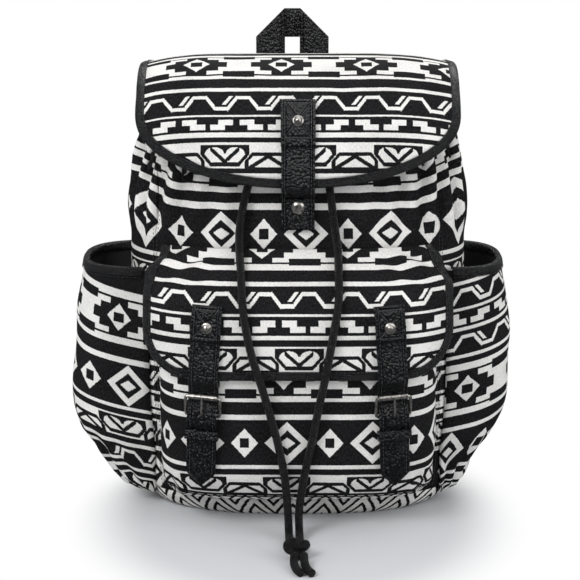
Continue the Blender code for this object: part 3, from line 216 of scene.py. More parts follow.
def lofted(name, sections, marks, runs, material, closed=False, caps=True):
    """A skin over closed sections, whose map holds each point's mark round the section and its run along it."""
    maker = bmesh.new()
    layer = maker.loops.layers.uv.new("cloth")
    rings = [[maker.verts.new(point) for point in section] for section in sections]
    count = len(rings[0])
    last = len(rings) if closed else len(rings) - 1
    for i in range(last):
        low, high = rings[i], rings[(i + 1) % len(rings)]
        for k in range(count):
            j = (k + 1) % count
            face = maker.faces.new((low[k], low[j], high[j], high[k]))
            face.smooth = True
            ends = ((marks[k], runs[i]), (marks[k + 1], runs[i]), (marks[k + 1], runs[i + 1]), (marks[k], runs[i + 1]))
            for loop, spot in zip(face.loops, ends):
                loop[layer].uv = spot
    if caps and not closed:
        for ring, run in ((rings[0], runs[0]), (rings[-1], runs[-1])):
            face = maker.faces.new(ring)
            for loop in face.loops:
                loop[layer].uv = (0.0, run)
    bmesh.ops.recalc_face_normals(maker, faces=maker.faces)
    mesh = bpy.data.meshes.new(name)
    maker.to_mesh(mesh)
    maker.free()
    mesh.materials.append(material)
    return plain_object(name, mesh)


def rounded_cord(name, line, radius, material, sides=20, closed=False, seam=0.0):
    """A round lace along a line, with a sewn seam raised along its back if asked."""
    count = len(line)
    side = (line[1] - line[0]).orthogonal().normalized()
    sections = []
    for i, point in enumerate(line):
        if closed:
            ahead = (line[(i + 1) % count] - line[i - 1]).normalized()
        else:
            ahead = (line[min(i + 1, count - 1)] - line[max(i - 1, 0)]).normalized()
        side = (side - ahead * side.dot(ahead)).normalized()
        other = ahead.cross(side)
        ring = []
        for k in range(sides):
            turn = 2 * math.pi * k / sides
            ridge = radius - seam * (1.0 if k % sides == 5 else 0.0)
            ring.append(point + (side * math.cos(turn) + other * math.sin(turn)) * ridge)
        sections.append(ring)
    marks = [2 * math.pi * radius * k / sides for k in range(sides + 1)]
    runs = distances(line + line[:1] if closed else line)
    return lofted(name, sections, marks, runs, material, closed=closed)


def ramp(tree, source, stops):
    """Colours along a value from 0 to 1."""
    node = tree.nodes.new("ShaderNodeValToRGB")
    while len(node.color_ramp.elements) < len(stops):
        node.color_ramp.elements.new(0.5)
    for element, (at, colour) in zip(node.color_ramp.elements, stops):
        element.position = at
        element.color = (*colour, 1.0)
    tree.links.new(source, node.inputs["Fac"])
    return node.outputs["Color"]


def grain(tree, vector, scale, detail=3.0, roughness=0.55):
    node = tree.nodes.new("ShaderNodeTexNoise")
    node.inputs["Scale"].default_value = scale
    node.inputs["Detail"].default_value = detail
    node.inputs["Roughness"].default_value = roughness
    tree.links.new(vector, node.inputs["Vector"])
    return node.outputs["Fac"]


def leather_finish(name, dark, light, scale, roughness, stitches=None, coat=0.30, cross=None):
    """Black pebbled leather: creased cells with painted highlights on their tops and painted shade in the creases
    between them, bluish rubbed wear, and a sewn border where the piece has one.
    """
    material = bpy.data.materials.new(name)
    material.use_nodes = True
    tree = material.node_tree
    shader = tree.nodes["Principled BSDF"]
    spot = tree.nodes.new("ShaderNodeTexCoord").outputs["Object"]
    cells = tree.nodes.new("ShaderNodeTexVoronoi")
    cells.feature = "SMOOTH_F1"
    cells.inputs["Scale"].default_value = scale
    cells.inputs["Smoothness"].default_value = 0.35
    tree.links.new(spot, cells.inputs["Vector"])
    wear = grain(tree, spot, scale * 0.06, 4.0)
    fine = grain(tree, spot, scale * 2.6, 2.0)
    height = Draft(tree, cells.outputs["Distance"]) * -1.0 + Draft(tree, fine) * 0.35
    # Painted highlight and shade: the pebbles' tops are painted lighter and the creases darker, mixed with random
    # rubbed wear.
    painted_pebble_highlight = 1 - Draft(tree, cells.outputs["Distance"]) * 1.7
    wear_and_pebble_sheen = Draft(tree, wear) * 0.7 + painted_pebble_highlight * 0.6 + Draft(tree, fine) * 0.2 - 0.25
    colour = ramp(tree, wear_and_pebble_sheen.socket, ((0.28, dark), (0.62, light)))
    bump = tree.nodes.new("ShaderNodeBump")
    bump.inputs["Strength"].default_value = 0.9
    bump.inputs["Distance"].default_value = 0.0016
    if stitches:
        across, along = seams(tree)
        edge, pitch = stitches
        line = abs(abs(across) - edge)
        if cross:
            middle, half = cross
            off = abs(along - middle)
            diagonal = abs(abs(across) * (half / edge) - off) * 0.7 + (off > half + 0.0004) * 1.0
            rows = abs(off - half) + (abs(across) > edge) * 1.0
            line = line.work("MINIMUM", diagonal).work("MINIMUM", rows)
        dash = ((along + across * (1.0 if cross else 0.0)) * (1.0 / pitch)).fraction() < 0.68
        thread = (line < 0.00042) * dash
        groove = line.smooth(0.0016, 0.0)
        height = height * (1 - thread) + thread * 0.9 - groove * 1.1
        blend = tree.nodes.new("ShaderNodeMix")
        blend.data_type = "RGBA"
        tree.links.new(thread.socket, blend.inputs["Factor"])
        # Painted shade: the colour is darkened in the sewn groove.
        painted_groove_shade = tree.nodes.new("ShaderNodeVectorMath")
        painted_groove_shade.operation = "SCALE"
        tree.links.new(colour, painted_groove_shade.inputs[0])
        tree.links.new((1 - groove * 0.75).socket, painted_groove_shade.inputs["Scale"])
        tree.links.new(painted_groove_shade.outputs["Vector"], blend.inputs["A"])
        # The thread is painted a lighter grey, a painted highlight along the stitches.
        blend.inputs["B"].default_value = (0.042, 0.044, 0.050, 1.0)
        colour = blend.outputs["Result"]
    tree.links.new(colour, shader.inputs["Base Color"])
    tree.links.new(height.socket, bump.inputs["Height"])
    tree.links.new(bump.outputs["Normal"], shader.inputs["Normal"])
    rough = (Draft(tree, wear) * 0.22 + (roughness - 0.11)).socket
    tree.links.new(rough, shader.inputs["Roughness"])
    shader.inputs["Coat Weight"].default_value = coat
    shader.inputs["Coat Roughness"].default_value = 0.20
    tree.links.new(bump.outputs["Normal"], shader.inputs["Coat Normal"])
    shader.inputs["Specular IOR Level"].default_value = 0.24
    return material


class Draft:
    """One value of a weaver's draft, worked out by a material at every point and written as ordinary sums."""

    def __init__(self, tree, socket):
        self.tree, self.socket = tree, socket

    def work(self, operation, *others):
        node = self.tree.nodes.new("ShaderNodeMath")
        node.operation = operation
        for slot, value in zip(node.inputs, (self, *others)):
            if isinstance(value, Draft):
                self.tree.links.new(value.socket, slot)
            else:
                slot.default_value = value
        return Draft(self.tree, node.outputs[0])

    def __add__(self, other):
        return self.work("ADD", other)

    def __radd__(self, other):
        return self.work("ADD", other)

    def __sub__(self, other):
        return self.work("SUBTRACT", other)

    def __rsub__(self, other):
        return self.work("MULTIPLY", -1.0).work("ADD", other)

    def __mul__(self, other):
        return self.work("MULTIPLY", other)

    def __lt__(self, other):
        return self.work("LESS_THAN", other)

    def __gt__(self, other):
        return self.work("GREATER_THAN", other)

    def __and__(self, other):
        return self.work("MULTIPLY", other)

    def __or__(self, other):
        return self.work("MAXIMUM", other)

    def __abs__(self):
        return self.work("ABSOLUTE")

    def fraction(self):
        return self.work("FRACT")

    def smooth(self, far, near):
        """1 at the near value, 0 at the far one, and smooth between them."""
        node = self.tree.nodes.new("ShaderNodeMapRange")
        node.interpolation_type = "SMOOTHSTEP"
        node.inputs["From Min"].default_value = near
        node.inputs["From Max"].default_value = far
        node.inputs["To Min"].default_value = 1.0
        node.inputs["To Max"].default_value = 0.0
        self.tree.links.new(self.socket, node.inputs["Value"])
        return Draft(self.tree, node.outputs["Result"])

    def every(self, period, middle=0.0):
        """Distance from the nearest of a row of middles."""
        return (((self - middle) * (1.0 / period) + 0.5).fraction() - 0.5) * period


def seams(tree):
    """The two distances of a piece's own map, across and along it, in metres."""
    mapped = tree.nodes.new("ShaderNodeUVMap")
    mapped.uv_map = "cloth"
    split = tree.nodes.new("ShaderNodeSeparateXYZ")
    tree.links.new(mapped.outputs["UV"], split.inputs["Vector"])
    return Draft(tree, split.outputs["X"]), Draft(tree, split.outputs["Y"])


lace_leather = leather_finish("lace_leather", (0.003, 0.003, 0.0035), (0.011, 0.011, 0.013), 1500.0, 0.28)

knot_line = []
for k in range(72):
    turn = 2 * math.pi * k / 72
    knot_line.append(
        Vector(KNOT_CENTRE)
        + Vector(
            (
                0.00300 * (math.sin(turn) + 1.75 * math.sin(2 * turn)),
                0.00260 * math.sin(3 * turn) * 1.2 - 0.0004,
                0.00235 * (math.cos(turn) - 1.75 * math.cos(2 * turn)) - 0.0007,
            )
        )
    )
knot = rounded_cord("lace_knot", knot_line, 0.0037, lace_leather, closed=True)
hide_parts("drawstring_knot")
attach(knot, "bag")

for side, word, hang, tail_line in ((-1, "left", LACE_LEFT, TAIL_LEFT), (1, "right", LACE_RIGHT, TAIL_RIGHT)):
    exit_points = [(side * x, y, z) for x, y, z in LACE_EXIT]
    line = smooth_line([*exit_points, *hang], 5)
    strand = rounded_cord("lace_" + word, line, LACE_DIAMETER / 2, lace_leather, seam=0.0005)
    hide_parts("drawstring_" + word)
    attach(strand, "bag")
    tail = rounded_cord("lace_tail_" + word, smooth_line(tail_line, 8), LACE_DIAMETER / 2, lace_leather, seam=0.0005)
    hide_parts("drawstring_tail_" + word)
    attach(tail, "bag")
    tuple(exit_points[0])
    round(distances(line)[-1], 3)
    [tuple(point) for point in line]
nodes["drawstring_hem_run"].data.materials.clear()
nodes["drawstring_hem_run"].data.materials.append(lace_leather)

# Sack: four upright panels of jacquard canvas and a base, sewn together and gathered at the mouth.
# The cloth is woven in black and off-white, in level rows of old geometric figures that repeat every seventy
# millimetres. The side panels carry the gathers.
SACK_WIDTH = 0.294
SACK_DEPTH = 0.150
SACK_HEIGHT = 0.345
SQUARENESS = 2.7
BASE_ROUND = 0.036
BASE_SHARE = (0.80, 0.86)
FULLNESS = (
    (BASE_ROUND / SACK_HEIGHT, 0.950, 0.970), (0.290, 0.975, 1.000), (0.650, 0.970, 0.985), (0.860, 0.945, 0.930),
    (0.940, 0.895, 0.865), (0.975, 0.840, 0.790), (1.000, 0.785, 0.710),
)
GATHERS = 12
GATHER_DEPTH = 0.0045
GATHER_SPAN = (0.76, 0.90, 1.00)
CLOTH = 0.0024
SEAM_ANGLE = math.radians(52)
BASE_EDGE = 0.016
REPEAT = 0.0705
BLACK_YARN = (0.0035, 0.0035, 0.0040)
BLACK_YARN_WORN = (0.0190, 0.0190, 0.0205)
WHITE_YARN = (0.80, 0.79, 0.77)
WHITE_YARN_SHADE = (0.58, 0.57, 0.55)
WEAVE_STEP = 0.0005


def crosses(x, down, tall):
    """Stepped black crosses on white, each with a white lozenge and a black square, and black bars between them."""
    across, off = abs(x.every(REPEAT)), abs(down - tall / 2)
    arms = (
        ((across < 0.0255) & (off < 0.0048))
        | ((across < 0.0180) & (off < 0.0105))
        | ((across < 0.0085) & (off < 0.0160))
    )
    lozenge = (across * 1.08 + off) < 0.0118
    square = (across < 0.0045) & (off < 0.0040)
    black = (arms & (1 - lozenge)) | square
    edge = tall / 2 - off
    bar = (abs(x.every(REPEAT, REPEAT / 2)) < 0.0128) & (edge < 0.0082) & (edge > 0.0004)
    thin = abs(edge - 0.0032) < 0.0010
    return 1 - (black | bar | thin)


def wave(x, down, tall):
    """A white running line on black, level above and below, with a short hook beside each rise."""
    beat = REPEAT / 2
    level, slope, half = 0.0050, 1.35, 0.0016
    along = x.every(beat)
    off = down - tall / 2
    path = (beat / 4 - abs(along)) * -slope
    path = path.work("MAXIMUM", -level).work("MINIMUM", level)
    steep = 1.5
    flat = (abs(abs(path) - level) < 0.0002)
    line = abs(off - path) < (half + (1 - flat) * half * (steep - 1))
    hook_path = (along + beat / 2 - 0.0030) * -slope
    hook = (abs(off - hook_path) < half * 1.4) & (off < 0.0012) & (off > -level - half) & (along < 0.0)
    return line | hook


def keys(x, down, tall):
    """White steps on black, turned to the right and to the left by turns."""
    pair = REPEAT * 2 / 3
    spot = ((x * (1.0 / pair)).fraction()) * pair
    upper = (down > tall * 0.17) & (down < tall * 0.52)
    lower = (down > tall * 0.48) & (down < tall * 0.83)
    rise = (upper & (spot > 0.0014) & (spot < 0.0135)) | (lower & (spot > 0.0080) & (spot < 0.0204))
    fall = (upper & (spot > 0.0310) & (spot < 0.0430)) | (lower & (spot > 0.0245) & (spot < 0.0365))
    return rise | fall


def hearts(x, down, tall):
    """Leaf pairs in outlined six-sided fields on white, upright and upside down by turns."""
    across = abs(x.every(REPEAT))
    lean = (down - 0.0095).work("MAXIMUM", 0.0) * 0.85
    field = (across < 0.0200 - lean) & (down > 0.0016) & (down < tall - 0.0016)
    inner = (across < 0.0164 - lean) & (down < tall - 0.0050)
    lobes = ((across - 0.0085) * (across - 0.0085) * 0.42 + (down - 0.0085) * (down - 0.0085)) < 0.0000235
    leaf = inner & (lobes | (down > 0.0086))
    vein = (abs(down - (tall - 0.0056) + across * 0.90) < 0.0021) & (across < 0.0118)
    upright = field & (1 - (leaf & (1 - vein)))
    second = abs(x.every(REPEAT, REPEAT / 2))
    rest = (down - tall * 0.36) * -0.85 + 0.0060
    rest = rest.work("MAXIMUM", 0.0)
    field = (second < 0.0190 - rest) & (down > tall * 0.36) & (down < tall + 0.001)
    inner = (second < 0.0156 - rest) & (down > tall * 0.36 + 0.0032) & (down < tall - 0.0014)
    vein = abs(down - tall * 0.52 - second * 0.62) < 0.0019
    turned = field & (1 - (inner & (1 - vein)))
    return 1 - (upright | turned)


def lozenges(x, down, tall):
    """White lozenges on black: small ones with a black square, and large outlined ones with a white middle."""
    off = abs(down - tall / 2)
    large, small = abs(x.every(REPEAT)), abs(x.every(REPEAT, REPEAT / 2))
    rim = ((large + off) < 0.0186) & ((large + off) > 0.0114)
    middle = ((large * 0.75 + off) < 0.0050)
    little = ((small * 1.15 + off) < 0.0128) & (1 - ((small < 0.0038) & (off < 0.0044)))
    return rim | middle | little


def chevrons(x, down, tall):
    """Black slanted strokes on white that meet in points."""
    across = abs(x.every(REPEAT / 2))
    stroke = abs((across + down * 0.9).every(0.0088)) < 0.0017
    return 1 - (stroke | (abs(down - 0.0012) < 0.0010))


def plain(shade):
    return lambda x, down, tall: shade


WHITE, BLACK = plain(1.0), plain(0.0)


def jacquard(name, rows, top, phases, rises=True):
    """The woven cloth of one piece. Rows are (figure, height), downwards from the top; phases place the figures.

    Heights run up the piece's map where it rises, and down it on a flap, whose map starts at the seam.
    """
    material = bpy.data.materials.new(name)
    material.use_nodes = True
    tree = material.node_tree
    shader = tree.nodes["Principled BSDF"]
    across, along = seams(tree)
    weave_spot = tree.nodes.new("ShaderNodeTexCoord").outputs["Object"]
    ragged = (Draft(tree, grain(tree, weave_spot, 900.0, 1.0)) - 0.5) * 0.0007
    x = (across + ragged).work("SNAP", WEAVE_STEP)
    down = (top - along) if rises else (along - top)
    down = (down + ragged).work("SNAP", WEAVE_STEP)
    start = 0.0
    figure = None
    for draw, tall in rows:
        shown = draw(x - phases.get(draw, 0.0), down - start, tall)
        if figure is None:
            figure = shown
        else:
            step = (down > start - WEAVE_STEP / 2)
            blend = tree.nodes.new("ShaderNodeMix")
            tree.links.new(step.socket, blend.inputs["Factor"])
            for value, slot in ((figure, "A"), (shown, "B")):
                if isinstance(value, Draft):
                    tree.links.new(value.socket, blend.inputs[slot])
                else:
                    blend.inputs[slot].default_value = value
            figure = Draft(tree, blend.outputs["Result"])
        start += tall
    threads = tree.nodes.new("ShaderNodeCombineXYZ")
    tree.links.new((across * 1100.0).socket, threads.inputs["X"])
    tree.links.new((along * 420.0).socket, threads.inputs["Y"])
    fleck = grain(tree, threads.outputs["Vector"], 1.0, 2.0)
    cast = grain(tree, weave_spot, 24.0, 3.0)
    dark = ramp(
        tree, (Draft(tree, fleck) * 0.8 + Draft(tree, cast) * 0.2).socket, ((0.40, BLACK_YARN), (0.66, BLACK_YARN_WORN))
    )
    pale = ramp(
        tree, (Draft(tree, fleck) * 0.5 + Draft(tree, cast) * 0.5).socket,
        ((0.34, WHITE_YARN_SHADE), (0.56, WHITE_YARN)),
    )
    blend = tree.nodes.new("ShaderNodeMix")
    blend.data_type = "RGBA"
    tree.links.new(figure.socket, blend.inputs["Factor"])
    tree.links.new(dark, blend.inputs["A"])
    tree.links.new(pale, blend.inputs["B"])
    tree.links.new(blend.outputs["Result"], shader.inputs["Base Color"])
    rib = (along * (2 * math.pi / 0.0011)).work("SINE") * 0.25 + (across * (2 * math.pi / 0.0008)).work("SINE") * 0.18
    height = rib + Draft(tree, fleck) * 0.8 + figure * 0.5
    bump = tree.nodes.new("ShaderNodeBump")
    bump.inputs["Strength"].default_value = 0.5
    bump.inputs["Distance"].default_value = 0.0005
    tree.links.new(height.socket, bump.inputs["Height"])
    tree.links.new(bump.outputs["Normal"], shader.inputs["Normal"])
    shader.inputs["Roughness"].default_value = 0.88
    shader.inputs["Specular IOR Level"].default_value = 0.12
    return material


def power(value, exponent):
    return math.copysign(abs(value) ** exponent, value)


def ease(value):
    value = min(1.0, max(0.0, value))
    return value * value * (3 - 2 * value)


def hermite(table, t):
    """Smooth values through a table whose first column rises, held level outside it."""
    if t <= table[0][0]:
        return table[0][1:]
    if t >= table[-1][0]:
        return table[-1][1:]
    i = max(k for k in range(len(table) - 1) if table[k][0] <= t)
    low, high = table[i], table[i + 1]
    before, after = table[max(i - 1, 0)], table[min(i + 2, len(table) - 1)]
    step = high[0] - low[0]
    f = (t - low[0]) / step
    out = []
    for k in range(1, len(low)):
        slope_low = (high[k] - before[k]) / (high[0] - before[0]) * step
        slope_high = (after[k] - low[k]) / (after[0] - low[0]) * step
        rise = (2 * f**3 - 3 * f**2 + 1) * low[k] + (3 * f**2 - 2 * f**3) * high[k]
        out.append(rise + (f**3 - 2 * f**2 + f) * slope_low + (f**3 - f**2) * slope_high)
    return out


def rise_of(height, foot, radius):
    return math.sqrt(max(0.0, 1 - max(0.0, 1 - (height - foot) / radius) ** 2)) if height > foot else 0.0


def sack_half(height):
    if height < BASE_ROUND:
        rise = rise_of(height, 0.0, BASE_ROUND)
        shares = [low + (full - low) * rise for low, full in zip(BASE_SHARE, FULLNESS[0][1:])]
    else:
        shares = hermite(FULLNESS, height / SACK_HEIGHT)
    return SACK_WIDTH / 2 * shares[0], SACK_DEPTH / 2 * shares[1]


def sack_y(x, height):
    half_x, half_y = sack_half(height)
    return half_y * max(0.0, 1 - abs(x / half_x) ** SQUARENESS) ** (1 / SQUARENESS)


def sack_x(y, height):
    half_x, half_y = sack_half(height)
    return half_x * max(0.0, 1 - abs(y / half_y) ** SQUARENESS) ** (1 / SQUARENESS)


def sack(angle, height):
    """Middle of the sack's cloth; the angle is 0 at the front and grows towards the right."""
    half_x, half_y = sack_half(height)
    start, _, end = (height / SACK_HEIGHT - edge for edge in GATHER_SPAN)
    fold = ease(start / (GATHER_SPAN[1] - GATHER_SPAN[0])) * ease(-end / (GATHER_SPAN[2] - GATHER_SPAN[1]))
    side = min(1.0, 1.4 * abs(math.sin(angle)))
    shrink = GATHER_DEPTH * fold * side * (0.5 + 0.5 * math.cos(GATHERS * angle))
    x = (half_x - shrink) * power(math.sin(angle), 2 / SQUARENESS)
    y = (half_y - shrink) * power(math.cos(angle), 2 / SQUARENESS)
    return Vector((x, -y, height + CLOTH / 2))


def crumple(point, size, seed):
    """A smooth unevenness between -1 and 1 that is the same on each run."""
    return noise.noise(Vector((point[0] / size + seed, point[1] / size, point[2] / size)))


def cloth_piece(name, surface, grid, spots, thickness, material, relief=None, away=(0.0, 0.0, 0.2), inner_shade=None):
    """Cloth about a surface on a grid of its parameters, with folds raised by the relief and a map in metres."""
    rows = [[surface(*at) for at in row] for row in grid]

    def normals(rows):
        found = []
        for i, row in enumerate(rows):
            line = []
            for k, point in enumerate(row):
                across = row[min(k + 1, len(row) - 1)] - row[max(k - 1, 0)]
                up = rows[min(i + 1, len(rows) - 1)][k] - rows[max(i - 1, 0)][k]
                normal = across.cross(up)
                if normal.length < 1e-12:
                    normal = point - Vector(away)
                normal.normalize()
                line.append(normal if normal.dot(point - Vector(away)) >= 0 else -normal)
            found.append(line)
        return found

    if relief:
        out = normals(rows)
        for i, row in enumerate(rows):
            for k, point in enumerate(row):
                rows[i][k] = point + out[i][k] * relief(grid[i][k], point)
    out = normals(rows)
    maker = bmesh.new()
    layer = maker.loops.layers.uv.new("cloth")
    skins = []
    for face_side in (1, -1):
        skins.append(
            [
                [maker.verts.new(p + n * thickness / 2 * face_side) for p, n in zip(row, line)]
                for row, line in zip(rows, out)
            ]
        )
    for skin, turn in ((skins[0], 1), (skins[1], -1)):
        for i in range(len(rows) - 1):
            for k in range(len(rows[0]) - 1):
                cell = [(i, k), (i, k + 1), (i + 1, k + 1), (i + 1, k)][::turn]
                face = maker.faces.new([skin[a][b] for a, b in cell])
                face.smooth = True
                face.material_index = 1 if inner_shade and skin is skins[1] else 0
                for loop, (a, b) in zip(face.loops, cell):
                    loop[layer].uv = spots[a][b]
    rim = [(0, k) for k in range(len(rows[0]))]
    rim += [(i, len(rows[0]) - 1) for i in range(1, len(rows))]
    rim += [(len(rows) - 1, k) for k in range(len(rows[0]) - 2, -1, -1)]
    rim += [(i, 0) for i in range(len(rows) - 2, 0, -1)]
    for (a, b), (c, d) in zip(rim, rim[1:] + rim[:1]):
        face = maker.faces.new((skins[0][a][b], skins[1][a][b], skins[1][c][d], skins[0][c][d]))
        for loop, (i, k) in zip(face.loops, ((a, b), (a, b), (c, d), (c, d))):
            loop[layer].uv = spots[i][k]
    bmesh.ops.recalc_face_normals(maker, faces=maker.faces)
    mesh = bpy.data.meshes.new(name)
    maker.to_mesh(mesh)
    maker.free()
    mesh.materials.append(material)
    if inner_shade:
        mesh.materials.append(inner_shade)
    return plain_object(name, mesh)


def woven_black(name, pitch, colour, worn_and_crest_light, strength=0.6):
    """Plain black webbing or canvas with its ribs across the strap."""
    material = bpy.data.materials.new(name)
    material.use_nodes = True
    tree = material.node_tree
    shader = tree.nodes["Principled BSDF"]
    spot = tree.nodes.new("ShaderNodeTexCoord").outputs["Object"]
    split = tree.nodes.new("ShaderNodeSeparateXYZ")
    tree.links.new(spot, split.inputs["Vector"])
    ribs = (Draft(tree, split.outputs["Z"]) * (2 * math.pi / pitch)).work("SINE")
    yarns = (Draft(tree, split.outputs["X"]) * (2 * math.pi / pitch * 0.8)).work("SINE")
    fibres = Draft(tree, grain(tree, spot, 1600.0, 3.0))
    height = ribs * 0.5 + yarns * 0.3 + fibres * 0.5
    # Random fibre tone, plus a painted highlight that makes the rib crests a little lighter than the hollows.
    colours = ramp(tree, (fibres * 0.7 + ribs * 0.12 + 0.1).socket, ((0.3, colour), (0.7, worn_and_crest_light)))
    bump = tree.nodes.new("ShaderNodeBump")
    bump.inputs["Strength"].default_value = strength
    bump.inputs["Distance"].default_value = 0.0004
    tree.links.new(colours, shader.inputs["Base Color"])
    tree.links.new(height.socket, bump.inputs["Height"])
    tree.links.new(bump.outputs["Normal"], shader.inputs["Normal"])
    shader.inputs["Roughness"].default_value = 0.85
    shader.inputs["Sheen Weight"].default_value = 0.1
    return material


def spread(count, low, high):
    return [low + (high - low) * k / (count - 1) for k in range(count)]


def sew(piece, slot, *replaced):
    """A soft or sewn piece rides on the bag and stands for its node."""
    if replaced:
        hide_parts(*replaced)
    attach(piece, "bag")
    return piece


# Painted shade: the cloth's inner faces are plain black, standing for the shade inside the pockets and the sack instead
# of the canvas's own reverse.
inner_shade = woven_black("black_lining", 0.0010, (0.004, 0.004, 0.0045), (0.012, 0.012, 0.013))
UPPER_ROWS = (
    (WHITE, 0.0040), (BLACK, 0.0090), (WHITE, 0.0040), (crosses, 0.0393), (WHITE, 0.0040), (BLACK, 0.0088),
    (WHITE, 0.0052), (lozenges, 0.0400), (WHITE, 0.0035), (BLACK, 0.0055), (hearts, 0.0210), (BLACK, 0.0045),
    (WHITE, 0.0036), (BLACK, 0.0040), (crosses, 0.0393), (WHITE, 0.0040), (BLACK, 0.0112), (WHITE, 0.0040),
    (wave, 0.0225), (WHITE, 0.0024), (keys, 0.0150), (WHITE, 0.0036), (BLACK, 0.0052), (hearts, 0.0210),
    (BLACK, 0.0040), (WHITE, 0.0040), (lozenges, 0.0400), (WHITE, 0.0040), (BLACK, 0.0200),
)
sack_cloth = jacquard(
    "sack_jacquard",
    UPPER_ROWS,
    0.3440,
    {crosses: -0.0290, lozenges: 0.0065, hearts: -0.0040, wave: -0.0100, keys: 0.0},
)

sack_runs = [0.0]
for k in range(720):
    step = sack(math.radians((k + 1) / 2), 0.200) - sack(math.radians(k / 2), 0.200)
    sack_runs.append(sack_runs[-1] + step.length)
SACK_ROUND = sack_runs[-1]


def sack_run(angle):
    """Distance round the sack from the middle of the front, in metres."""
    turn = math.degrees(angle) * 2
    k = min(719, max(0, int(turn)))
    run = sack_runs[k] + (sack_runs[k + 1] - sack_runs[k]) * (turn - k)
    return run


def sack_relief(at, point):
    """Folds that fall from the gathered mouth, kept small where a pocket lies against the sack."""
    angle, height = at
    open_cloth = ease((height - 0.232) / 0.030) * ease((0.342 - height) / 0.020)
    fold = math.sin(
        31 * angle + 26 * (height - 0.25) * math.copysign(1, math.sin(angle)) + 2 * crumple(point, 0.06, 3.0)
    )
    loose = 0.0036 * open_cloth * min(1.0, abs(math.sin(angle)) * 1.6) * fold
    back = 0.0010 if math.cos(angle) < -0.2 else 0.0
    return loose + (0.0018 * open_cloth + back * ease((height - 0.03) / 0.02)) * crumple(point, 0.028, 7.0)


def sack_level(point, height):
    """Height of a row of the pattern at a point: the gathered mouth lifts the rows towards the sides."""
    outward = ease((abs(point.x) - 0.095) / 0.050)
    return height - 0.026 * outward * ease((height - 0.225) / 0.070)


def panel_angles():
    corner, half_turn = SEAM_ANGLE, math.pi
    return (
        ("front_panel", -corner, corner, 110),
        ("right_panel", corner, half_turn - corner, 80),
        ("back_panel", half_turn - corner, half_turn + corner, 110),
        ("left_panel", half_turn + corner, 2 * half_turn - corner, 80),
    )


SEAM_GAP = 0.0003
for name, start, end, columns in panel_angles():
    gap = SEAM_GAP / SACK_DEPTH
    angles = spread(columns, start + gap, end - gap)
    heights = spread(120, BASE_EDGE + SEAM_GAP, SACK_HEIGHT)
    grid = [[(angle, height) for angle in angles] for height in heights]
    start_run = {
        "front_panel": SACK_ROUND, "right_panel": 0.0, "back_panel": SACK_ROUND / 2, "left_panel": SACK_ROUND
    }[name]
    marks = []
    for angle in angles:
        run = sack_run(angle % (2 * math.pi))
        marks.append(run if name == "front_panel" and angle >= 0 else run - start_run)
    spots = [
        [(mark, sack_level(sack(angle, height), height)) for mark, angle in zip(marks, angles)] for height in heights
    ]
    sew(cloth_piece(name + "_cloth", sack, grid, spots, CLOTH, sack_cloth, sack_relief, inner_shade=inner_shade), "canvas", name)

base_cloth = jacquard("base_jacquard", ((chevrons, 0.0200), (BLACK, 0.0010)), 0.0195, {chevrons: 0.0065})
rings, runs = [], []
BASE_COLUMNS = 160
angles = [2 * math.pi * k / BASE_COLUMNS for k in range(BASE_COLUMNS)]
for face_side, heights in (
    (1, (0.0, 0.0010, 0.003, 0.006, 0.010, BASE_EDGE)), (-1, (BASE_EDGE, 0.010, 0.006, 0.003, 0.0))
):
    for height in heights:
        ring = []
        for angle in angles:
            point = sack(angle, height)
            out = Vector((point.x / 0.9, point.y * 1.6, -0.03 * (1 - height / BASE_EDGE))).normalized()
            point = point + out * CLOTH / 2 * face_side
            if height == 0.0:
                point.z = 0.0 if face_side == 1 else CLOTH
            ring.append(point)
        rings.append(ring)
        runs.append(height)
marks = [sack_run(angle) for angle in angles] + [SACK_ROUND]
base = lofted("base_cloth", rings, marks, runs + [runs[-1]], base_cloth)
sew(base, "canvas", "base_panel")

# Seams: each panel seam is turned, pressed and top-stitched in black on both of its sides.
# The stitches are short lengths of bonded thread that lie in the cloth.
STITCH_LENGTH = 0.0026
STITCH_PITCH = 0.0036
STITCH_RADIUS = 0.00032

thread = bpy.data.materials.new("black_thread")
thread.use_nodes = True
thread_shader = thread.node_tree.nodes["Principled BSDF"]
thread_spot = thread.node_tree.nodes.new("ShaderNodeTexCoord").outputs["Object"]
thread_colour = ramp(
    thread.node_tree, grain(thread.node_tree, thread_spot, 2400.0, 2.0),
    ((0.3, (0.010, 0.010, 0.011)), (0.7, (0.035, 0.035, 0.038))),
)
thread.node_tree.links.new(thread_colour, thread_shader.inputs["Base Color"])
thread_shader.inputs["Roughness"].default_value = 0.6


def stitch_run(name, line, out, material=thread):
    """A row of stitches along a line, each a small rounded length pressed into the surface."""
    run = distances(line)
    maker = bmesh.new()
    count = int(run[-1] / STITCH_PITCH)
    for k in range(count):
        middle = (k + 0.5) * run[-1] / count
        ends = []
        for at in (middle - STITCH_LENGTH / 2, middle, middle + STITCH_LENGTH / 2):
            i = max(j for j in range(len(run) - 1) if run[j] <= at)
            share = (at - run[i]) / (run[i + 1] - run[i])
            ends.append((line[i].lerp(line[i + 1], share), out[i]))
        rings = []
        ahead = (ends[2][0] - ends[0][0]).normalized()
        for (point, normal), lift, size in zip(ends, (-0.4, 0.5, -0.4), (0.55, 1.0, 0.55)):
            side = ahead.cross(normal).normalized()
            up = side.cross(ahead)
            centre = point + normal * STITCH_RADIUS * lift
            ring = []
            for corner in range(6):
                turn = math.pi * corner / 3
                ring.append(
                    maker.verts.new(centre + (side * math.cos(turn) + up * math.sin(turn)) * STITCH_RADIUS * size)
                )
            rings.append(ring)
        for low, high in zip(rings, rings[1:]):
            for corner in range(6):
                following = (corner + 1) % 6
                maker.faces.new((low[corner], low[following], high[following], high[corner])).smooth = True
        maker.faces.new(rings[0])
        maker.faces.new(rings[-1])
    bmesh.ops.recalc_face_normals(maker, faces=maker.faces)
    mesh = bpy.data.meshes.new(name)
    maker.to_mesh(mesh)
    maker.free()
    mesh.materials.append(material)
    return plain_object(name, mesh)


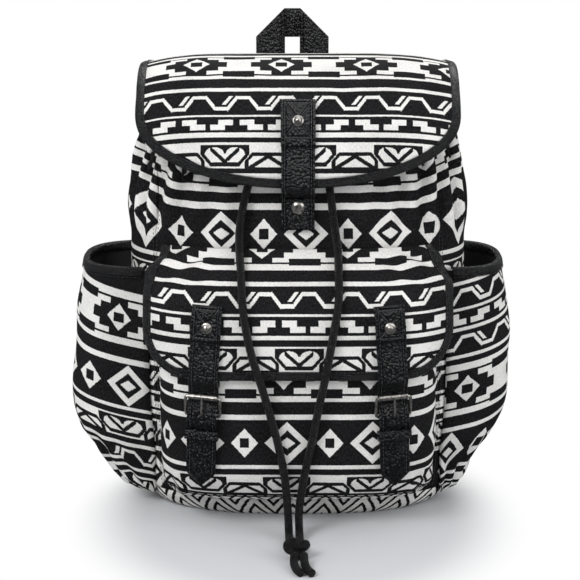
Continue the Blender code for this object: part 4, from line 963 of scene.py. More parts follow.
def beside(surface, grid_line, relief=None, lift=0.0, away=(0.0, 0.0, 0.2)):
    """Points and outward directions of a line of a surface's parameters, on the outside of its cloth."""
    points, out = [], []
    for at in grid_line:
        a, b = at
        point = surface(a, b)
        across = surface(a + 1e-4, b) - surface(a - 1e-4, b)
        up = surface(a, b + 1e-4) - surface(a, b - 1e-4)
        normal = across.cross(up).normalized()
        if normal.dot(point - Vector(away)) < 0:
            normal = -normal
        if relief:
            point = point + normal * relief(at, point)
        points.append(point + normal * lift)
        out.append(normal)
    return points, out


for corner, word in (
    (SEAM_ANGLE, "front_right"), (math.pi - SEAM_ANGLE, "back_right"), (math.pi + SEAM_ANGLE, "back_left"),
    (-SEAM_ANGLE, "front_left"),
):
    for shift in (-0.020, 0.020):
        line = [(corner + shift, height) for height in spread(90, 0.020, 0.333)]
        points, out = beside(sack, line, sack_relief, CLOTH / 2)
        sew(stitch_run("seam_stitches_" + word + ("_a" if shift < 0 else "_b"), points, out), "canvas")

# Mouth: the top edge is folded over the lace as a hem, and two nickel eyelets let the lace out at the front.
# The hem is the same canvas, turned and puckered by the lace.
hem_cloth = jacquard("hem_jacquard", ((WHITE, 0.006), (BLACK, 0.009), (WHITE, 0.012), (BLACK, 0.006)), 0.374, {})


def cad_copy(node, name, merge=2e-5):
    """A node's own shape as a new piece with its points merged, for a finish that needs whole faces."""
    source = nodes[node].data
    maker = bmesh.new()
    maker.from_mesh(source)
    bmesh.ops.remove_doubles(maker, verts=maker.verts, dist=merge)
    bmesh.ops.recalc_face_normals(maker, faces=maker.faces)
    mesh = bpy.data.meshes.new(name)
    maker.to_mesh(mesh)
    maker.free()
    return plain_object(name, mesh)


hem = cad_copy("mouth_hem", "mouth_hem_cloth")
layer = hem.data.uv_layers.new(name="cloth")
for loop in hem.data.loops:
    at = hem.data.vertices[loop.vertex_index].co
    layer.data[loop.index].uv = (at.x, at.z)
hem.data.materials.append(hem_cloth)
sew(hem, "canvas", "mouth_hem")

def eased_edges(piece, width, angle=30):
    """Cuts away flat faces' spare edges, then rounds the sharp ones."""
    bpy.ops.object.select_all(action="DESELECT")
    piece.select_set(True)
    bpy.context.view_layer.objects.active = piece
    flat_faces = piece.modifiers.new("flat", "DECIMATE")
    flat_faces.decimate_type = "DISSOLVE"
    flat_faces.angle_limit = math.radians(1.0)
    rounded = piece.modifiers.new("rounded", "BEVEL")
    rounded.width = width
    rounded.segments = 3
    rounded.limit_method = "ANGLE"
    rounded.angle_limit = math.radians(angle)
    bpy.ops.object.modifier_apply(modifier="flat")
    bpy.ops.object.modifier_apply(modifier="rounded")
    bpy.ops.object.shade_smooth_by_angle(angle=math.radians(40))


nickel = bpy.data.materials.new("aged_nickel")
nickel.use_nodes = True
tree = nickel.node_tree
shader = tree.nodes["Principled BSDF"]
spot = tree.nodes.new("ShaderNodeTexCoord").outputs["Object"]
tarnish = grain(tree, spot, 420.0, 5.0)
colour = ramp(tree, tarnish, ((0.32, (0.20, 0.19, 0.18)), (0.58, (0.52, 0.50, 0.47)), (0.80, (0.66, 0.64, 0.60))))
tree.links.new(colour, shader.inputs["Base Color"])
shader.inputs["Metallic"].default_value = 1.0
tree.links.new((Draft(tree, tarnish) * 0.35 + 0.14).socket, shader.inputs["Roughness"])
scratch = tree.nodes.new("ShaderNodeBump")
scratch.inputs["Strength"].default_value = 0.25
scratch.inputs["Distance"].default_value = 0.0003
tree.links.new(grain(tree, spot, 900.0, 4.0), scratch.inputs["Height"])
tree.links.new(scratch.outputs["Normal"], shader.inputs["Normal"])
for name, node in nodes.items():
    if name.startswith(
        ("eyelet_", "buckle_frame_", "buckle_prong_", "buckle_roller_", "snap_", "strap_stud_", "closing_stud")
    ):
        node.data.materials.clear()
        node.data.materials.append(nickel)

# Top flap: a tongue of the same canvas, sewn across the back, that covers the mouth and hangs down the front.
# Its free edge is bound with soft black leather.
FLAP_HALF_WIDTH = 0.1325
FLAP_SEAM_HALF_WIDTH = 0.100
FLAP_LINE = (
    (0.0690, 0.326), (0.0675, 0.345), (0.0560, 0.368), (0.0300, 0.3835), (0.0000, 0.3880), (-0.0310, 0.3830),
    (-0.0560, 0.3685), (-0.0720, 0.3490), (-0.0800, 0.3260), (-0.0835, 0.3050), (-0.0842, 0.2925),
)
FLAP_APRON = 0.0600
FLAP_WRAP = 0.0120
FLAP_SEAM_WRAP = 0.0300
FLAP_SIDE_DROP = 0.0090
BINDING_WIDTH = 0.0062
BINDING_HALF_THICKNESS = 0.0030


class Profile:
    """A smooth line in the Y-Z plane, read by its length from the first end."""

    def __init__(self, points):
        self.line = smooth_line([(y, z) for y, z in points], 10)
        self.along = distances(self.line)
        self.length = self.along[-1]

    def at(self, distance):
        i = 0
        while i < len(self.line) - 2 and self.along[i + 1] < distance:
            i += 1
        share = (distance - self.along[i]) / (self.along[i + 1] - self.along[i])
        return self.line[i].lerp(self.line[i + 1], share)

    def along_at(self, height):
        for k in range(len(self.line) - 1):
            a, b = self.line[k], self.line[k + 1]
            if min(a.y, b.y) <= height <= max(a.y, b.y):
                return self.along[k] + (b - a).length * (height - a.y) / (b.y - a.y)
        return self.length

    def y_at(self, height):
        for a, b in zip(reversed(self.line[1:]), reversed(self.line[:-1])):
            if a.y <= height <= b.y:
                return a.x + (b.x - a.x) * (height - a.y) / (b.y - a.y)
        return self.line[-1].x if height < self.line[-1].y else self.line[0].x


FLAP = Profile(FLAP_LINE)


def flap(x, along):
    """Middle of the flap's cloth, from the seam on the back to the front edge."""
    y, z = FLAP.at(along)
    edge = abs(x) / FLAP_HALF_WIDTH
    from_seam = ease(along / 0.085)
    front = ease((along - 0.11) / 0.06)
    y -= FLAP_SEAM_WRAP * edge**3 * (1 - from_seam)
    y += FLAP_WRAP * edge**2.5 * front
    z -= FLAP_SIDE_DROP * edge**5 * from_seam
    return Vector((x, y, z))


def flap_end(share):
    return FLAP.length - BINDING_WIDTH - FLAP_APRON * (1 - max(0.0, 1 - abs(share) ** 2.3) ** (1 / 2.0))


def flap_half(along):
    return FLAP_SEAM_HALF_WIDTH + (FLAP_HALF_WIDTH - FLAP_SEAM_HALF_WIDTH) * ease(along / 0.095) - BINDING_WIDTH


def apron_grid(shares, rows, end, half):
    """Rows from the seam to the binding, whose reach depends on the share of the half width."""
    return [[(share * half(end(share) * k / rows), end(share) * k / rows) for share in shares] for k in range(rows + 1)]


def free_edge(grid):
    """The inner line of a binding, and the edge outside it: down one side, along the end and up the other."""
    inner = [row[0] for row in grid[:-1]] + list(grid[-1]) + [row[-1] for row in reversed(grid[:-1])]
    edge = []
    for i, point in enumerate(inner):
        a, b = inner[max(i - 2, 0)], inner[min(i + 2, len(inner) - 1)]
        along = Vector((b[0] - a[0], b[1] - a[1])).normalized()
        if i in (0, len(inner) - 1):
            along = Vector((0, 1 if i == 0 else -1))
        edge.append((point[0] - along.y * BINDING_WIDTH, point[1] + along.x * BINDING_WIDTH))
    return inner, edge


binding_leather = leather_finish("binding_leather", (0.003, 0.0033, 0.0040), (0.012, 0.013, 0.015), 900.0, 0.27)


def bound_edge(name, surface, edge_line, inner_line, relief=None):
    """Leather folded round a cloth edge: a flat bead with rounded lips, drawn in a little by its stitching."""
    count = 18
    inner, out = beside(surface, inner_line, relief)
    edge, edge_out = beside(surface, edge_line, relief)
    middles = [(a + b) / 2 for a, b in zip(inner, edge)]
    runs = distances(middles)
    sections = []
    for i, (deep, rim) in enumerate(zip(inner, edge)):
        away = (rim - deep).normalized()
        normal = (out[i] + edge_out[i]).normalized()
        half = (rim - deep).length / 2 + 0.0009
        middle = (deep + rim) / 2 + away * 0.0004
        pull = 1 - 0.05 * abs(math.sin(runs[i] / 0.0036 * math.pi))
        ring = []
        for k in range(count):
            turn = 2 * math.pi * k / count
            reach = power(math.cos(turn), 0.72) * half
            lift = (
                power(math.sin(turn), 0.72) * BINDING_HALF_THICKNESS * pull * (1.0 if math.cos(turn) > -0.5 else 0.82)
            )
            ring.append(middle + away * reach + normal * lift)
        sections.append(ring)
    marks = [0.001 * k for k in range(count + 1)]
    bead = lofted(name, sections, marks, runs, binding_leather)
    sewn_line = [
        deep + (rim - deep) * 0.02 + normal * BINDING_HALF_THICKNESS * 0.86
        for deep, rim, normal in zip(inner, edge, out)
    ]
    front = stitch_run(name + "_stitches", sewn_line, out)
    return bead, front


flap_rows = (
    (WHITE, 0.0040), (hearts, 0.0210), (BLACK, 0.0050), (WHITE, 0.0036), (keys, 0.0140), (WHITE, 0.0030),
    (wave, 0.0220),
    (WHITE, 0.0040), (BLACK, 0.0110), (WHITE, 0.0040), (crosses, 0.0393), (WHITE, 0.0022), (BLACK, 0.0100),
    (WHITE, 0.0035), (wave, 0.0215), (WHITE, 0.0016), (keys, 0.0130), (WHITE, 0.0036), (BLACK, 0.0042),
    (hearts, 0.0210),
    (BLACK, 0.0040), (WHITE, 0.0100),
)
FLAP_CROSSES_END = 0.1545
flap_cloth = jacquard(
    "flap_jacquard",
    flap_rows,
    FLAP_CROSSES_END - sum(tall for figure, tall in flap_rows[:11]),
    {crosses: -0.0140, wave: -0.0099, keys: -0.0022, hearts: 0.0107},
    rises=False,
)


def flap_relief(at, point):
    """Small ripples in the flap, growing towards its front edge and left out along its middle."""
    x, along = at
    front = ease((along - 0.10) / 0.05)
    ripple = 0.0011 * crumple(point, 0.045, 11.0) + 0.0005 * crumple(point, 0.014, 5.0)
    clear = ease((abs(x) - 0.020) / 0.02)
    return ripple * (0.3 + 0.7 * front) * clear


shares = [math.sin(math.radians(a)) for a in spread(97, -90, 90)]
grid = apron_grid(shares, 110, flap_end, flap_half)
top_flap = cloth_piece("top_flap_cloth", flap, grid, grid, CLOTH, flap_cloth, flap_relief)
sew(top_flap, "canvas", "top_flap")
inner, edge = free_edge(grid)
bead, stitches = bound_edge("top_flap_binding", flap, edge[2:-2], inner[2:-2], flap_relief)
sew(bead, "leather", "flap_binding")
sew(stitches, "leather")

# Straps: single thickness bridle leather, cut to width, edges rounded and a line sewn inside each edge.
# The wide one closes the top flap with a stud and a snap.
STRAP_LEATHER = 0.0020
STRAP_CLEARANCE = 0.0003
TAB_LEATHER = 0.0014
CLOSING_WIDTH = 0.0275
CLOSING_TAB = 0.0365
CLOSING_START = 0.1810
SNAP_HEIGHT = 0.2740
CLOSING_END = 0.2550
SNAP_STACK = 0.0036
BINDING_LIFT = 0.0006 + 0.0013


def rounded_strap(name, path, half_widths, thickness, material, across=Vector((1, 0, 0))):
    """A flat strap with rounded edges."""
    corner = min(thickness * 0.45, 0.0008)
    runs = distances(path)
    sections = []
    for i, point in enumerate(path):
        ahead = path[min(i + 1, len(path) - 1)] - path[max(i - 1, 0)]
        face = ahead.cross(across).normalized()
        half = half_widths[i]
        ring = []
        for sx, sy, start in ((1, 1, 0), (-1, 1, 90), (-1, -1, 180), (1, -1, 270)):
            for degrees in (0, 30, 60, 90):
                turn = math.radians(start + degrees)
                reach = max(0.0, half - corner) * sx + corner * math.cos(turn)
                lift = (thickness / 2 - corner) * sy + corner * math.sin(turn)
                ring.append(point + across * reach + face * lift)
        sections.append(ring)
    ring_width = []
    for sx, start in ((1, 0), (-1, 90), (-1, 180), (1, 270)):
        for degrees in (0, 30, 60, 90):
            ring_width.append(max(half_widths) * sx if start < 180 else max(half_widths) * sx * 1.2)
    return lofted(name, sections, ring_width + ring_width[:1], runs, material)


# The lighter hide colours hold rubbed wear together with the painted highlight on the pebbles' tops.
HIDE_BLACK = (0.0012, 0.0014, 0.0018)
HIDE_WORN_AND_SHEEN = (0.0140, 0.0155, 0.0185)
HIDE_WORN_LESS_AND_SHEEN = (0.0135, 0.0150, 0.0180)
HIDE_GRAIN = 430.0
HIDE_ROUGHNESS = 0.25
strap_leather = leather_finish(
    "strap_leather", HIDE_BLACK, HIDE_WORN_AND_SHEEN, HIDE_GRAIN, HIDE_ROUGHNESS, stitches=(0.0102, 0.0034)
)
tab_leather = leather_finish(
    "tab_leather", HIDE_BLACK, HIDE_WORN_LESS_AND_SHEEN, HIDE_GRAIN, HIDE_ROUGHNESS,
    stitches=(0.0100, 0.0030), cross=(0.0150, 0.0115),
)
closing_tab_leather = leather_finish(
    "closing_tab_leather", HIDE_BLACK, HIDE_WORN_LESS_AND_SHEEN, HIDE_GRAIN, HIDE_ROUGHNESS,
    stitches=(0.0112, 0.0030), cross=(0.0175, 0.0145),
)
wide_leather = leather_finish(
    "wide_strap_leather", HIDE_BLACK, HIDE_WORN_LESS_AND_SHEEN, HIDE_GRAIN, HIDE_ROUGHNESS, stitches=(0.0115, 0.0034)
)


def flap_normal(x, along):
    across = flap(x + 1e-4, along) - flap(x - 1e-4, along)
    down = flap(x, along + 1e-4) - flap(x, along - 1e-4)
    return down.cross(across).normalized()


lie = CLOTH / 2 + STRAP_CLEARANCE + STRAP_LEATHER / 2
over = CLOTH / 2 + BINDING_LIFT + STRAP_CLEARANCE + STRAP_LEATHER / 2
line = []
for along in spread(9, CLOSING_START, FLAP.length - 0.004):
    climb = ease((along - (FLAP.length - 0.024)) / 0.014)
    line.append(flap(0, along) + flap_normal(0, along) * (lie + 0.0002 + (over - lie) * climb))
snap_y = -(sack_y(0, SNAP_HEIGHT) + CLOTH / 2 + SNAP_STACK + STRAP_LEATHER / 2 + STRAP_CLEARANCE)
low = line[-1]
line += [
    Vector((0, low.y + 0.0008, low.z - 0.0065)),
    Vector((0, snap_y, SNAP_HEIGHT + 0.0085)),
    Vector((0, snap_y, SNAP_HEIGHT + 0.0056)),
    Vector((0, snap_y, SNAP_HEIGHT)),
    Vector((0, snap_y, SNAP_HEIGHT - 0.0080)),
    Vector((0, snap_y + 0.0006, CLOSING_END)),
]
path = smooth_line(line, 5)
strap = rounded_strap("closing_strap_leather", path, [CLOSING_WIDTH / 2] * len(path), STRAP_LEATHER, wide_leather)
sew(strap, "leather", "closing_strap")

step = STRAP_LEATHER / 2 + STRAP_CLEARANCE + TAB_LEATHER / 2
line = []
for along in spread(20, CLOSING_START - 0.001, CLOSING_START + CLOSING_TAB):
    line.append(flap(0, along) + flap_normal(0, along) * (lie + 0.0002 + step))
tab = rounded_strap(
    "closing_tab_leather", line, [CLOSING_WIDTH / 2 + 0.0005] * len(line), TAB_LEATHER, closing_tab_leather
)
sew(tab, "leather", "closing_tab")

# Studs: each tab's stud and the snap's cap are spun brass, nickel plated, with a low collar round a bright dome.
STUD_PROFILE = (
    (0.0, 0.00345), (0.0010, 0.00335), (0.0019, 0.00300), (0.0026, 0.00245), (0.0031, 0.00175), (0.0034, 0.00125),
    (0.0040, 0.00115),
    (0.0044, 0.00095), (0.0047, 0.00060), (0.0047, 0.00030), (0.0045, 0.00015), (0.0012, 0.00015), (0.0012, -0.00450),
    (0.0, -0.00450),
)
CAP_PROFILE = (
    (0.0, 0.0026), (0.0016, 0.0025), (0.0030, 0.0022), (0.0041, 0.0017), (0.0048, 0.0011), (0.0053, 0.0007),
    (0.0056, 0.00045),
    (0.0054, 0.00020), (0.0012, 0.00020), (0.0012, -0.0023), (0.0046, -0.0023), (0.0046, -0.0044), (0.0, -0.0044),
)


def turned_stud(name, node, face, out, profile):
    """A turned metal head on the outside of the leather, with its shank through it."""
    place = Matrix.Translation(face) @ out.to_track_quat("Z", "Y").to_matrix().to_4x4()
    sections = []
    for k in range(48):
        turn = 2 * math.pi * k / 48
        sections.append([place @ Vector((r * math.cos(turn), r * math.sin(turn), h)) for r, h in profile])
    count = len(profile)
    stud = lofted(
        name, sections, [0.001 * k for k in range(count + 1)], [0.001 * k for k in range(49)], nickel, closed=True
    )
    merged = bmesh.new()
    merged.from_mesh(stud.data)
    bmesh.ops.remove_doubles(merged, verts=merged.verts, dist=1e-6)
    bmesh.ops.dissolve_degenerate(merged, edges=merged.edges, dist=1e-7)
    bmesh.ops.recalc_face_normals(merged, faces=merged.faces)
    merged.to_mesh(stud.data)
    merged.free()
    return sew(stud, "nickel", node)


stud_along = CLOSING_START + CLOSING_TAB * 0.45
out = flap_normal(0, stud_along)
turned_stud(
    "closing_stud_head", "closing_stud", flap(0, stud_along) + out * (lie + step + TAB_LEATHER / 2), out, STUD_PROFILE
)
turned_stud(
    "snap_cap_head", "snap_cap", Vector((0, snap_y - STRAP_LEATHER / 2, SNAP_HEIGHT)), Vector((0, -1, 0)), CAP_PROFILE
)

# Front pocket: a box pocket with rounded lower corners, whose canvas is drawn in at the bottom seam.
# Its bound flap is sewn across the sack above it and buckles down over its front.
POCKET_HALF_WIDTH = 0.116
POCKET_BOTTOM = 0.0200
POCKET_TOP = 0.2050
POCKET_ROUND = 0.0480
POCKET_FRONT = ((0.000, 0.1135), (0.080, 0.1155), (0.110, 0.1160), (0.150, 0.1150), (0.185, 0.1095), (0.205, 0.1040))
POCKET_LIFT = 0.0032
BOX_CORNER = 5.0
BOX_FACE = 3.0
LID_HALF_WIDTH = 0.1265
LID_SEAM_HALF_WIDTH = 0.112
LID_LINE = (
    (-0.0785, 0.2380), (-0.0860, 0.2345), (-0.1050, 0.2205), (-0.1185, 0.2030), (-0.1235, 0.1830), (-0.1245, 0.1600),
    (-0.1245, 0.1410),
)
LID_CORNER = 0.0300
LID_WRAP = 0.0300
LID = Profile(LID_LINE)


def pocket(turn, height):
    """Middle of the front pocket's cloth, from its seam on one side round to the other."""
    rise = rise_of(height, POCKET_BOTTOM, POCKET_ROUND)
    half = POCKET_HALF_WIDTH * (0.90 + 0.10 * rise)
    x = half * power(math.sin(turn), 2 / BOX_CORNER)
    wall = sack_y(half, height)
    boxed = wall + (hermite(POCKET_FRONT, height)[0] - wall) * abs(math.cos(turn)) ** (2 / BOX_FACE)
    near = sack_y(x, height)
    return Vector((x, -(near + (boxed - near) * rise + POCKET_LIFT), height + CLOTH / 2))


def lid(x, along):
    """Middle of the pocket flap's cloth, from its seam on the sack to the lower edge."""
    y, z = LID.at(along)
    from_seam = ease(along / 0.045)
    y += (sack_y(0, z) - sack_y(x, z)) * (1 - from_seam)
    y += LID_WRAP * (abs(x) / LID_HALF_WIDTH) ** 5 * from_seam
    return Vector((x, y, z))


def lid_end(share):
    half = LID_HALF_WIDTH - BINDING_WIDTH
    into = max(0.0, abs(share) * half - (half - LID_CORNER)) / LID_CORNER
    return LID.length - BINDING_WIDTH - LID_CORNER * (1 - math.sqrt(max(0.0, 1 - into**2)))


def lid_half(along):
    return LID_SEAM_HALF_WIDTH + (LID_HALF_WIDTH - LID_SEAM_HALF_WIDTH) * ease(along / 0.050) - BINDING_WIDTH


pocket_cloth = jacquard(
    "pocket_jacquard",
    (
        (WHITE, 0.0040), (BLACK, 0.0112), (WHITE, 0.0070), (crosses, 0.0393), (WHITE, 0.0028), (BLACK, 0.0110),
        (WHITE, 0.0047), (lozenges, 0.0402), (WHITE, 0.0033), (BLACK, 0.0055), (hearts, 0.0205), (BLACK, 0.0030),
        (chevrons, 0.0200),
    ),
    0.1612 + 0.0222,
    {crosses: -0.0120, lozenges: -0.0091, hearts: -0.0099, chevrons: 0.0065},
)
lid_cloth = jacquard(
    "lid_jacquard",
    (
        (crosses, 0.0393), (WHITE, 0.0046), (BLACK, 0.0112), (WHITE, 0.0040), (wave, 0.0228), (WHITE, 0.0023),
        (keys, 0.0153), (WHITE, 0.0036), (BLACK, 0.0052), (hearts, 0.0215), (BLACK, 0.0040), (WHITE, 0.0100),
    ),
    0.0198 - 0.0393,
    {crosses: -0.0300, wave: -0.0268, keys: -0.0148, hearts: 0.0007},
    rises=False,
)


def arc_marks(surface, turns, height):
    """Distances along a level line of a pocket from its middle, for its map."""
    fine = spread(801, turns[0], turns[-1])
    runs = distances([surface(turn, height) for turn in fine])
    half = runs[400]
    marks = []
    for turn in turns:
        at = (turn - turns[0]) / (turns[-1] - turns[0]) * 800
        k = min(799, int(at))
        marks.append(runs[k] + (runs[k + 1] - runs[k]) * (at - k) - half)
    return marks


def pocket_relief(at, point):
    """Puckers that rise from the bottom seam at both lower corners."""
    turn, height = at
    corner = ease((abs(math.sin(turn)) - 0.30) / 0.5)
    low = ease((0.070 - height) / 0.045) * ease((height - POCKET_BOTTOM) / 0.006)
    pucker = 0.0021 * corner * low * math.sin(point.x * 330 + height * 60)
    hang = ease((height - POCKET_BOTTOM) / 0.03) * ease((0.135 - height) / 0.02)
    under_strap = 1 - ease((0.020 - abs(abs(point.x) - 0.0775)) / 0.006)
    return pucker * under_strap + 0.0008 * crumple(point, 0.035, 21.0) * hang * under_strap


sines = [power(math.sin(math.radians(a)), 1.0) for a in spread(141, -90, 90)]
turns = [math.asin(power(s, 2.0)) * 0.55 + math.asin(s) * 0.45 for s in sines]
heights = [POCKET_BOTTOM + (POCKET_TOP - POCKET_BOTTOM) * k / 110 for k in range(111)]
heights = [POCKET_BOTTOM, POCKET_BOTTOM + 0.0003, POCKET_BOTTOM + 0.0009, *heights[1:]]
marks = arc_marks(pocket, turns, 0.110)
grid = [[(turn, height) for turn in turns] for height in heights]
spots = [[(mark, height) for mark in marks] for height in heights]
sew(
    cloth_piece(
        "front_pocket_cloth", pocket, grid, spots, CLOTH, pocket_cloth, pocket_relief,
        away=(0, 0.2, 0.12), inner_shade=inner_shade,
    ),
    "canvas",
    "front_pocket",
)


def lid_relief(at, point):
    """Creases across the flap's turned-down top corners, flat under the straps."""
    x, along = at
    corner = ease((abs(x) - 0.060) / 0.03) * ease((0.060 - along) / 0.03) * ease(along / 0.010)
    crease = 0.0021 * corner * math.sin(point.x * 210 - along * 260 * math.copysign(1, x))
    soft = 0.0008 * crumple(point, 0.040, 31.0) * ease(along / 0.02)
    under_strap = 1 - ease((0.020 - abs(abs(x) - 0.0775)) / 0.006) * ease((along - 0.035) / 0.01)
    return (crease + soft) * under_strap


shares = spread(121, -1.0, 1.0)
half = LID_HALF_WIDTH - BINDING_WIDTH
flat = 1 - LID_CORNER / half
shares = [
    s if abs(s) < flat
    else math.copysign(flat + (1 - flat) * math.sin((abs(s) - flat) / (1 - flat) * math.pi / 2), s)
    for s in shares
]
grid = apron_grid(shares, 70, lid_end, lid_half)
pocket_flap = cloth_piece("pocket_flap_cloth", lid, grid, grid, CLOTH, lid_cloth, lid_relief)
sew(pocket_flap, "canvas", "pocket_flap")
inner, edge = free_edge(grid)
bead, stitches = bound_edge("pocket_flap_edge", lid, edge[2:-2], inner[2:-2], lid_relief)
sew(bead, "leather", "pocket_flap_binding")
sew(stitches, "leather")

# Side pockets: open pockets of the same canvas, gathered round the bottom, with a leather-bound rim.
SIDE_HALF_WIDTH = 0.0500
SIDE_BOTTOM = 0.0100
SIDE_TOP = 0.2140
SIDE_ROUND = 0.0550
SIDE_FRONT = {
    -1: (
        (0.000, 0.1550), (0.032, 0.1630), (0.050, 0.1690), (0.060, 0.1760), (0.085, 0.1830), (0.125, 0.1810),
        (0.175, 0.1765), (0.214, 0.1700),
    ),
    1: (
        (0.000, 0.1400), (0.032, 0.1470), (0.056, 0.1635), (0.080, 0.1765), (0.125, 0.1805), (0.175, 0.1765),
        (0.214, 0.1700),
    ),
}
SIDE_REACH = {-1: 1.055, 1: 1.005}
SIDE_LIFT = 0.0034
SIDE_CORNER = 2.6
SIDE_SLOPE = 0.20


def side_pocket(side):
    """Middle of a side pocket's cloth; side is -1 or 1 along X."""

    def surface(turn, height):
        rise = rise_of(height, SIDE_BOTTOM, SIDE_ROUND)
        half = SIDE_HALF_WIDTH * (0.80 + 0.20 * rise)
        y = half * power(math.sin(turn), 2 / SIDE_CORNER) * side
        wall = sack_x(half, height)
        full = hermite(SIDE_FRONT[side], height)[0] * SIDE_REACH[side]
        boxed = wall + (full - wall) * abs(math.cos(turn)) ** (2 / SIDE_CORNER)
        near = sack_x(y, height)
        return Vector((side * (near + (boxed - near) * rise + SIDE_LIFT), y, height + CLOTH / 2))

    return surface


side_rows = (
    (BLACK, 0.0160), (WHITE, 0.0044), (crosses, 0.0393), (WHITE, 0.0038), (BLACK, 0.0117), (WHITE, 0.0048),
    (lozenges, 0.0385), (WHITE, 0.0030), (BLACK, 0.0053), (hearts, 0.0200), (BLACK, 0.0050), (WHITE, 0.0036),
    (wave, 0.0200), (WHITE, 0.0030), (BLACK, 0.0050), (hearts, 0.0200), (BLACK, 0.0200),
)
right_side_rows = (
    (BLACK, 0.0075), (WHITE, 0.0030), (wave, 0.0200), (WHITE, 0.0024), (keys, 0.0150), (WHITE, 0.0030), (wave, 0.0210),
    (WHITE, 0.0030), (BLACK, 0.0050), (WHITE, 0.0036), (crosses, 0.0393), (WHITE, 0.0038), (BLACK, 0.0100),
    (WHITE, 0.0040), (lozenges, 0.0385), (WHITE, 0.0030), (BLACK, 0.0053), (hearts, 0.0200), (BLACK, 0.0200),
)
side_phases = {crosses: 0.0700, lozenges: 0.0790, hearts: 0.0720, wave: 0.0700}
side_cloth = {
    -1: jacquard("side_pocket_jacquard_left", side_rows, 0.2265, side_phases),
    1: jacquard("side_pocket_jacquard_right", right_side_rows, 0.2265, side_phases),
}


def side_relief(at, point):
    """Gathers that fan up from the bottom seam, and slack cloth above them."""
    turn, height = at
    low = ease((0.085 - height) / 0.060) * ease((height - SIDE_BOTTOM) / 0.008)
    fan = 0.0032 * low * math.sin(turn * 15 + 1.5 * crumple(point, 0.03, 2.0))
    slack = (
        (0.0024 * crumple(point, 0.038, 41.0) + 0.0016 * low * crumple(point, 0.015, 43.0))
        * ease((height - SIDE_BOTTOM) / 0.02)
        * ease((0.206 - height) / 0.02)
    )
    return fan * (0.35 + 0.65 * math.cos(turn)) + slack * (0.3 + 0.7 * math.cos(turn))


for side, word in ((-1, "left"), (1, "right")):
    surface = side_pocket(side)
    turns = [math.asin(power(math.sin(a), 1.5)) for a in spread(91, -math.pi / 2, math.pi / 2)]
    heights = [
        SIDE_BOTTOM, SIDE_BOTTOM + 0.0004, SIDE_BOTTOM + 0.0012,
        *[SIDE_BOTTOM + (SIDE_TOP - 0.002 - SIDE_BOTTOM) * k / 100 for k in range(2, 101)],
    ]
    marks = arc_marks(surface, turns, 0.120)
    grid = [[(turn, height) for turn in turns] for height in heights]
    spots = [[(abs(mark), height + CLOTH / 2 + SIDE_SLOPE * abs(mark)) for mark in marks] for height in heights]
    piece = cloth_piece(
        "side_pocket_cloth_" + word, surface, grid, spots, CLOTH, side_cloth[side], side_relief,
        away=(side * 0.1, 0, 0.12), inner_shade=inner_shade,
    )
    sew(piece, "canvas", "side_pocket_" + word)
    ends = spread(61, -math.pi / 2 + math.radians(3), math.pi / 2 - math.radians(3))
    rim = [(turn, SIDE_TOP) for turn in ends]
    under = [(turn, SIDE_TOP - 0.0075) for turn in ends]
    bead, stitches = bound_edge("side_pocket_rim_" + word, surface, rim, under)
    sew(bead, "leather", "side_pocket_binding_" + word)
    sew(stitches, "leather")

# Buckle straps: each is fixed to the pocket flap by a tab and a stud, passes a roller buckle and a keeper,
# and ends in a point. The buckle hangs in the fold of a short base strap that is sewn down the pocket.
STRAP_WIDTH = 0.0250
STRAP_X = 0.0775
STRAP_TILT = math.radians(3.0)
STRAP_TURN = math.radians(9.0)
STRAP_POINT = 0.0120
BASE_STRAP_WIDTH = 0.0220
BASE_LEATHER = 0.0016
BAR_HEIGHT = 0.1075
BUCKLE_LENGTH = 0.0170
WIRE_RADIUS = 0.0013
KEEPER_HEIGHT = 0.0080
KEEPER_LEATHER = 0.0013
KEEPER_ROOM = 0.0006
KEEPER_RISE = -0.0162
strap_turn = math.asin((STRAP_X / POCKET_HALF_WIDTH) ** (BOX_CORNER / 2))


def sag(rise):
    return pocket(strap_turn, BAR_HEIGHT + rise).y - pocket(strap_turn, BAR_HEIGHT).y


def lid_out(height):
    wrap = LID_WRAP * (STRAP_X / LID_HALF_WIDTH) ** 5
    return -(LID.y_at(height) + wrap) + pocket(strap_turn, BAR_HEIGHT).y


base_run = CLOTH / 2 + STRAP_CLEARANCE + BASE_LEATHER / 2
bar_out = base_run + BASE_LEATHER / 2 + STRAP_CLEARANCE + WIRE_RADIUS
fold_out = bar_out + WIRE_RADIUS + STRAP_CLEARANCE + BASE_LEATHER / 2
over_bar = fold_out + BASE_LEATHER / 2 + STRAP_CLEARANCE + STRAP_LEATHER / 2
under_roller = base_run + 0.0028
keeper_back = base_run + BASE_LEATHER / 2 + STRAP_CLEARANCE
in_keeper = keeper_back + KEEPER_LEATHER + KEEPER_ROOM + STRAP_LEATHER / 2
base_leather = leather_finish(
    "base_strap_leather", HIDE_BLACK, HIDE_WORN_LESS_AND_SHEEN, HIDE_GRAIN, HIDE_ROUGHNESS, stitches=(0.0085, 0.0034)
)
keeper_leather = leather_finish("keeper_leather", HIDE_BLACK, HIDE_WORN_AND_SHEEN, 500.0, HIDE_ROUGHNESS)

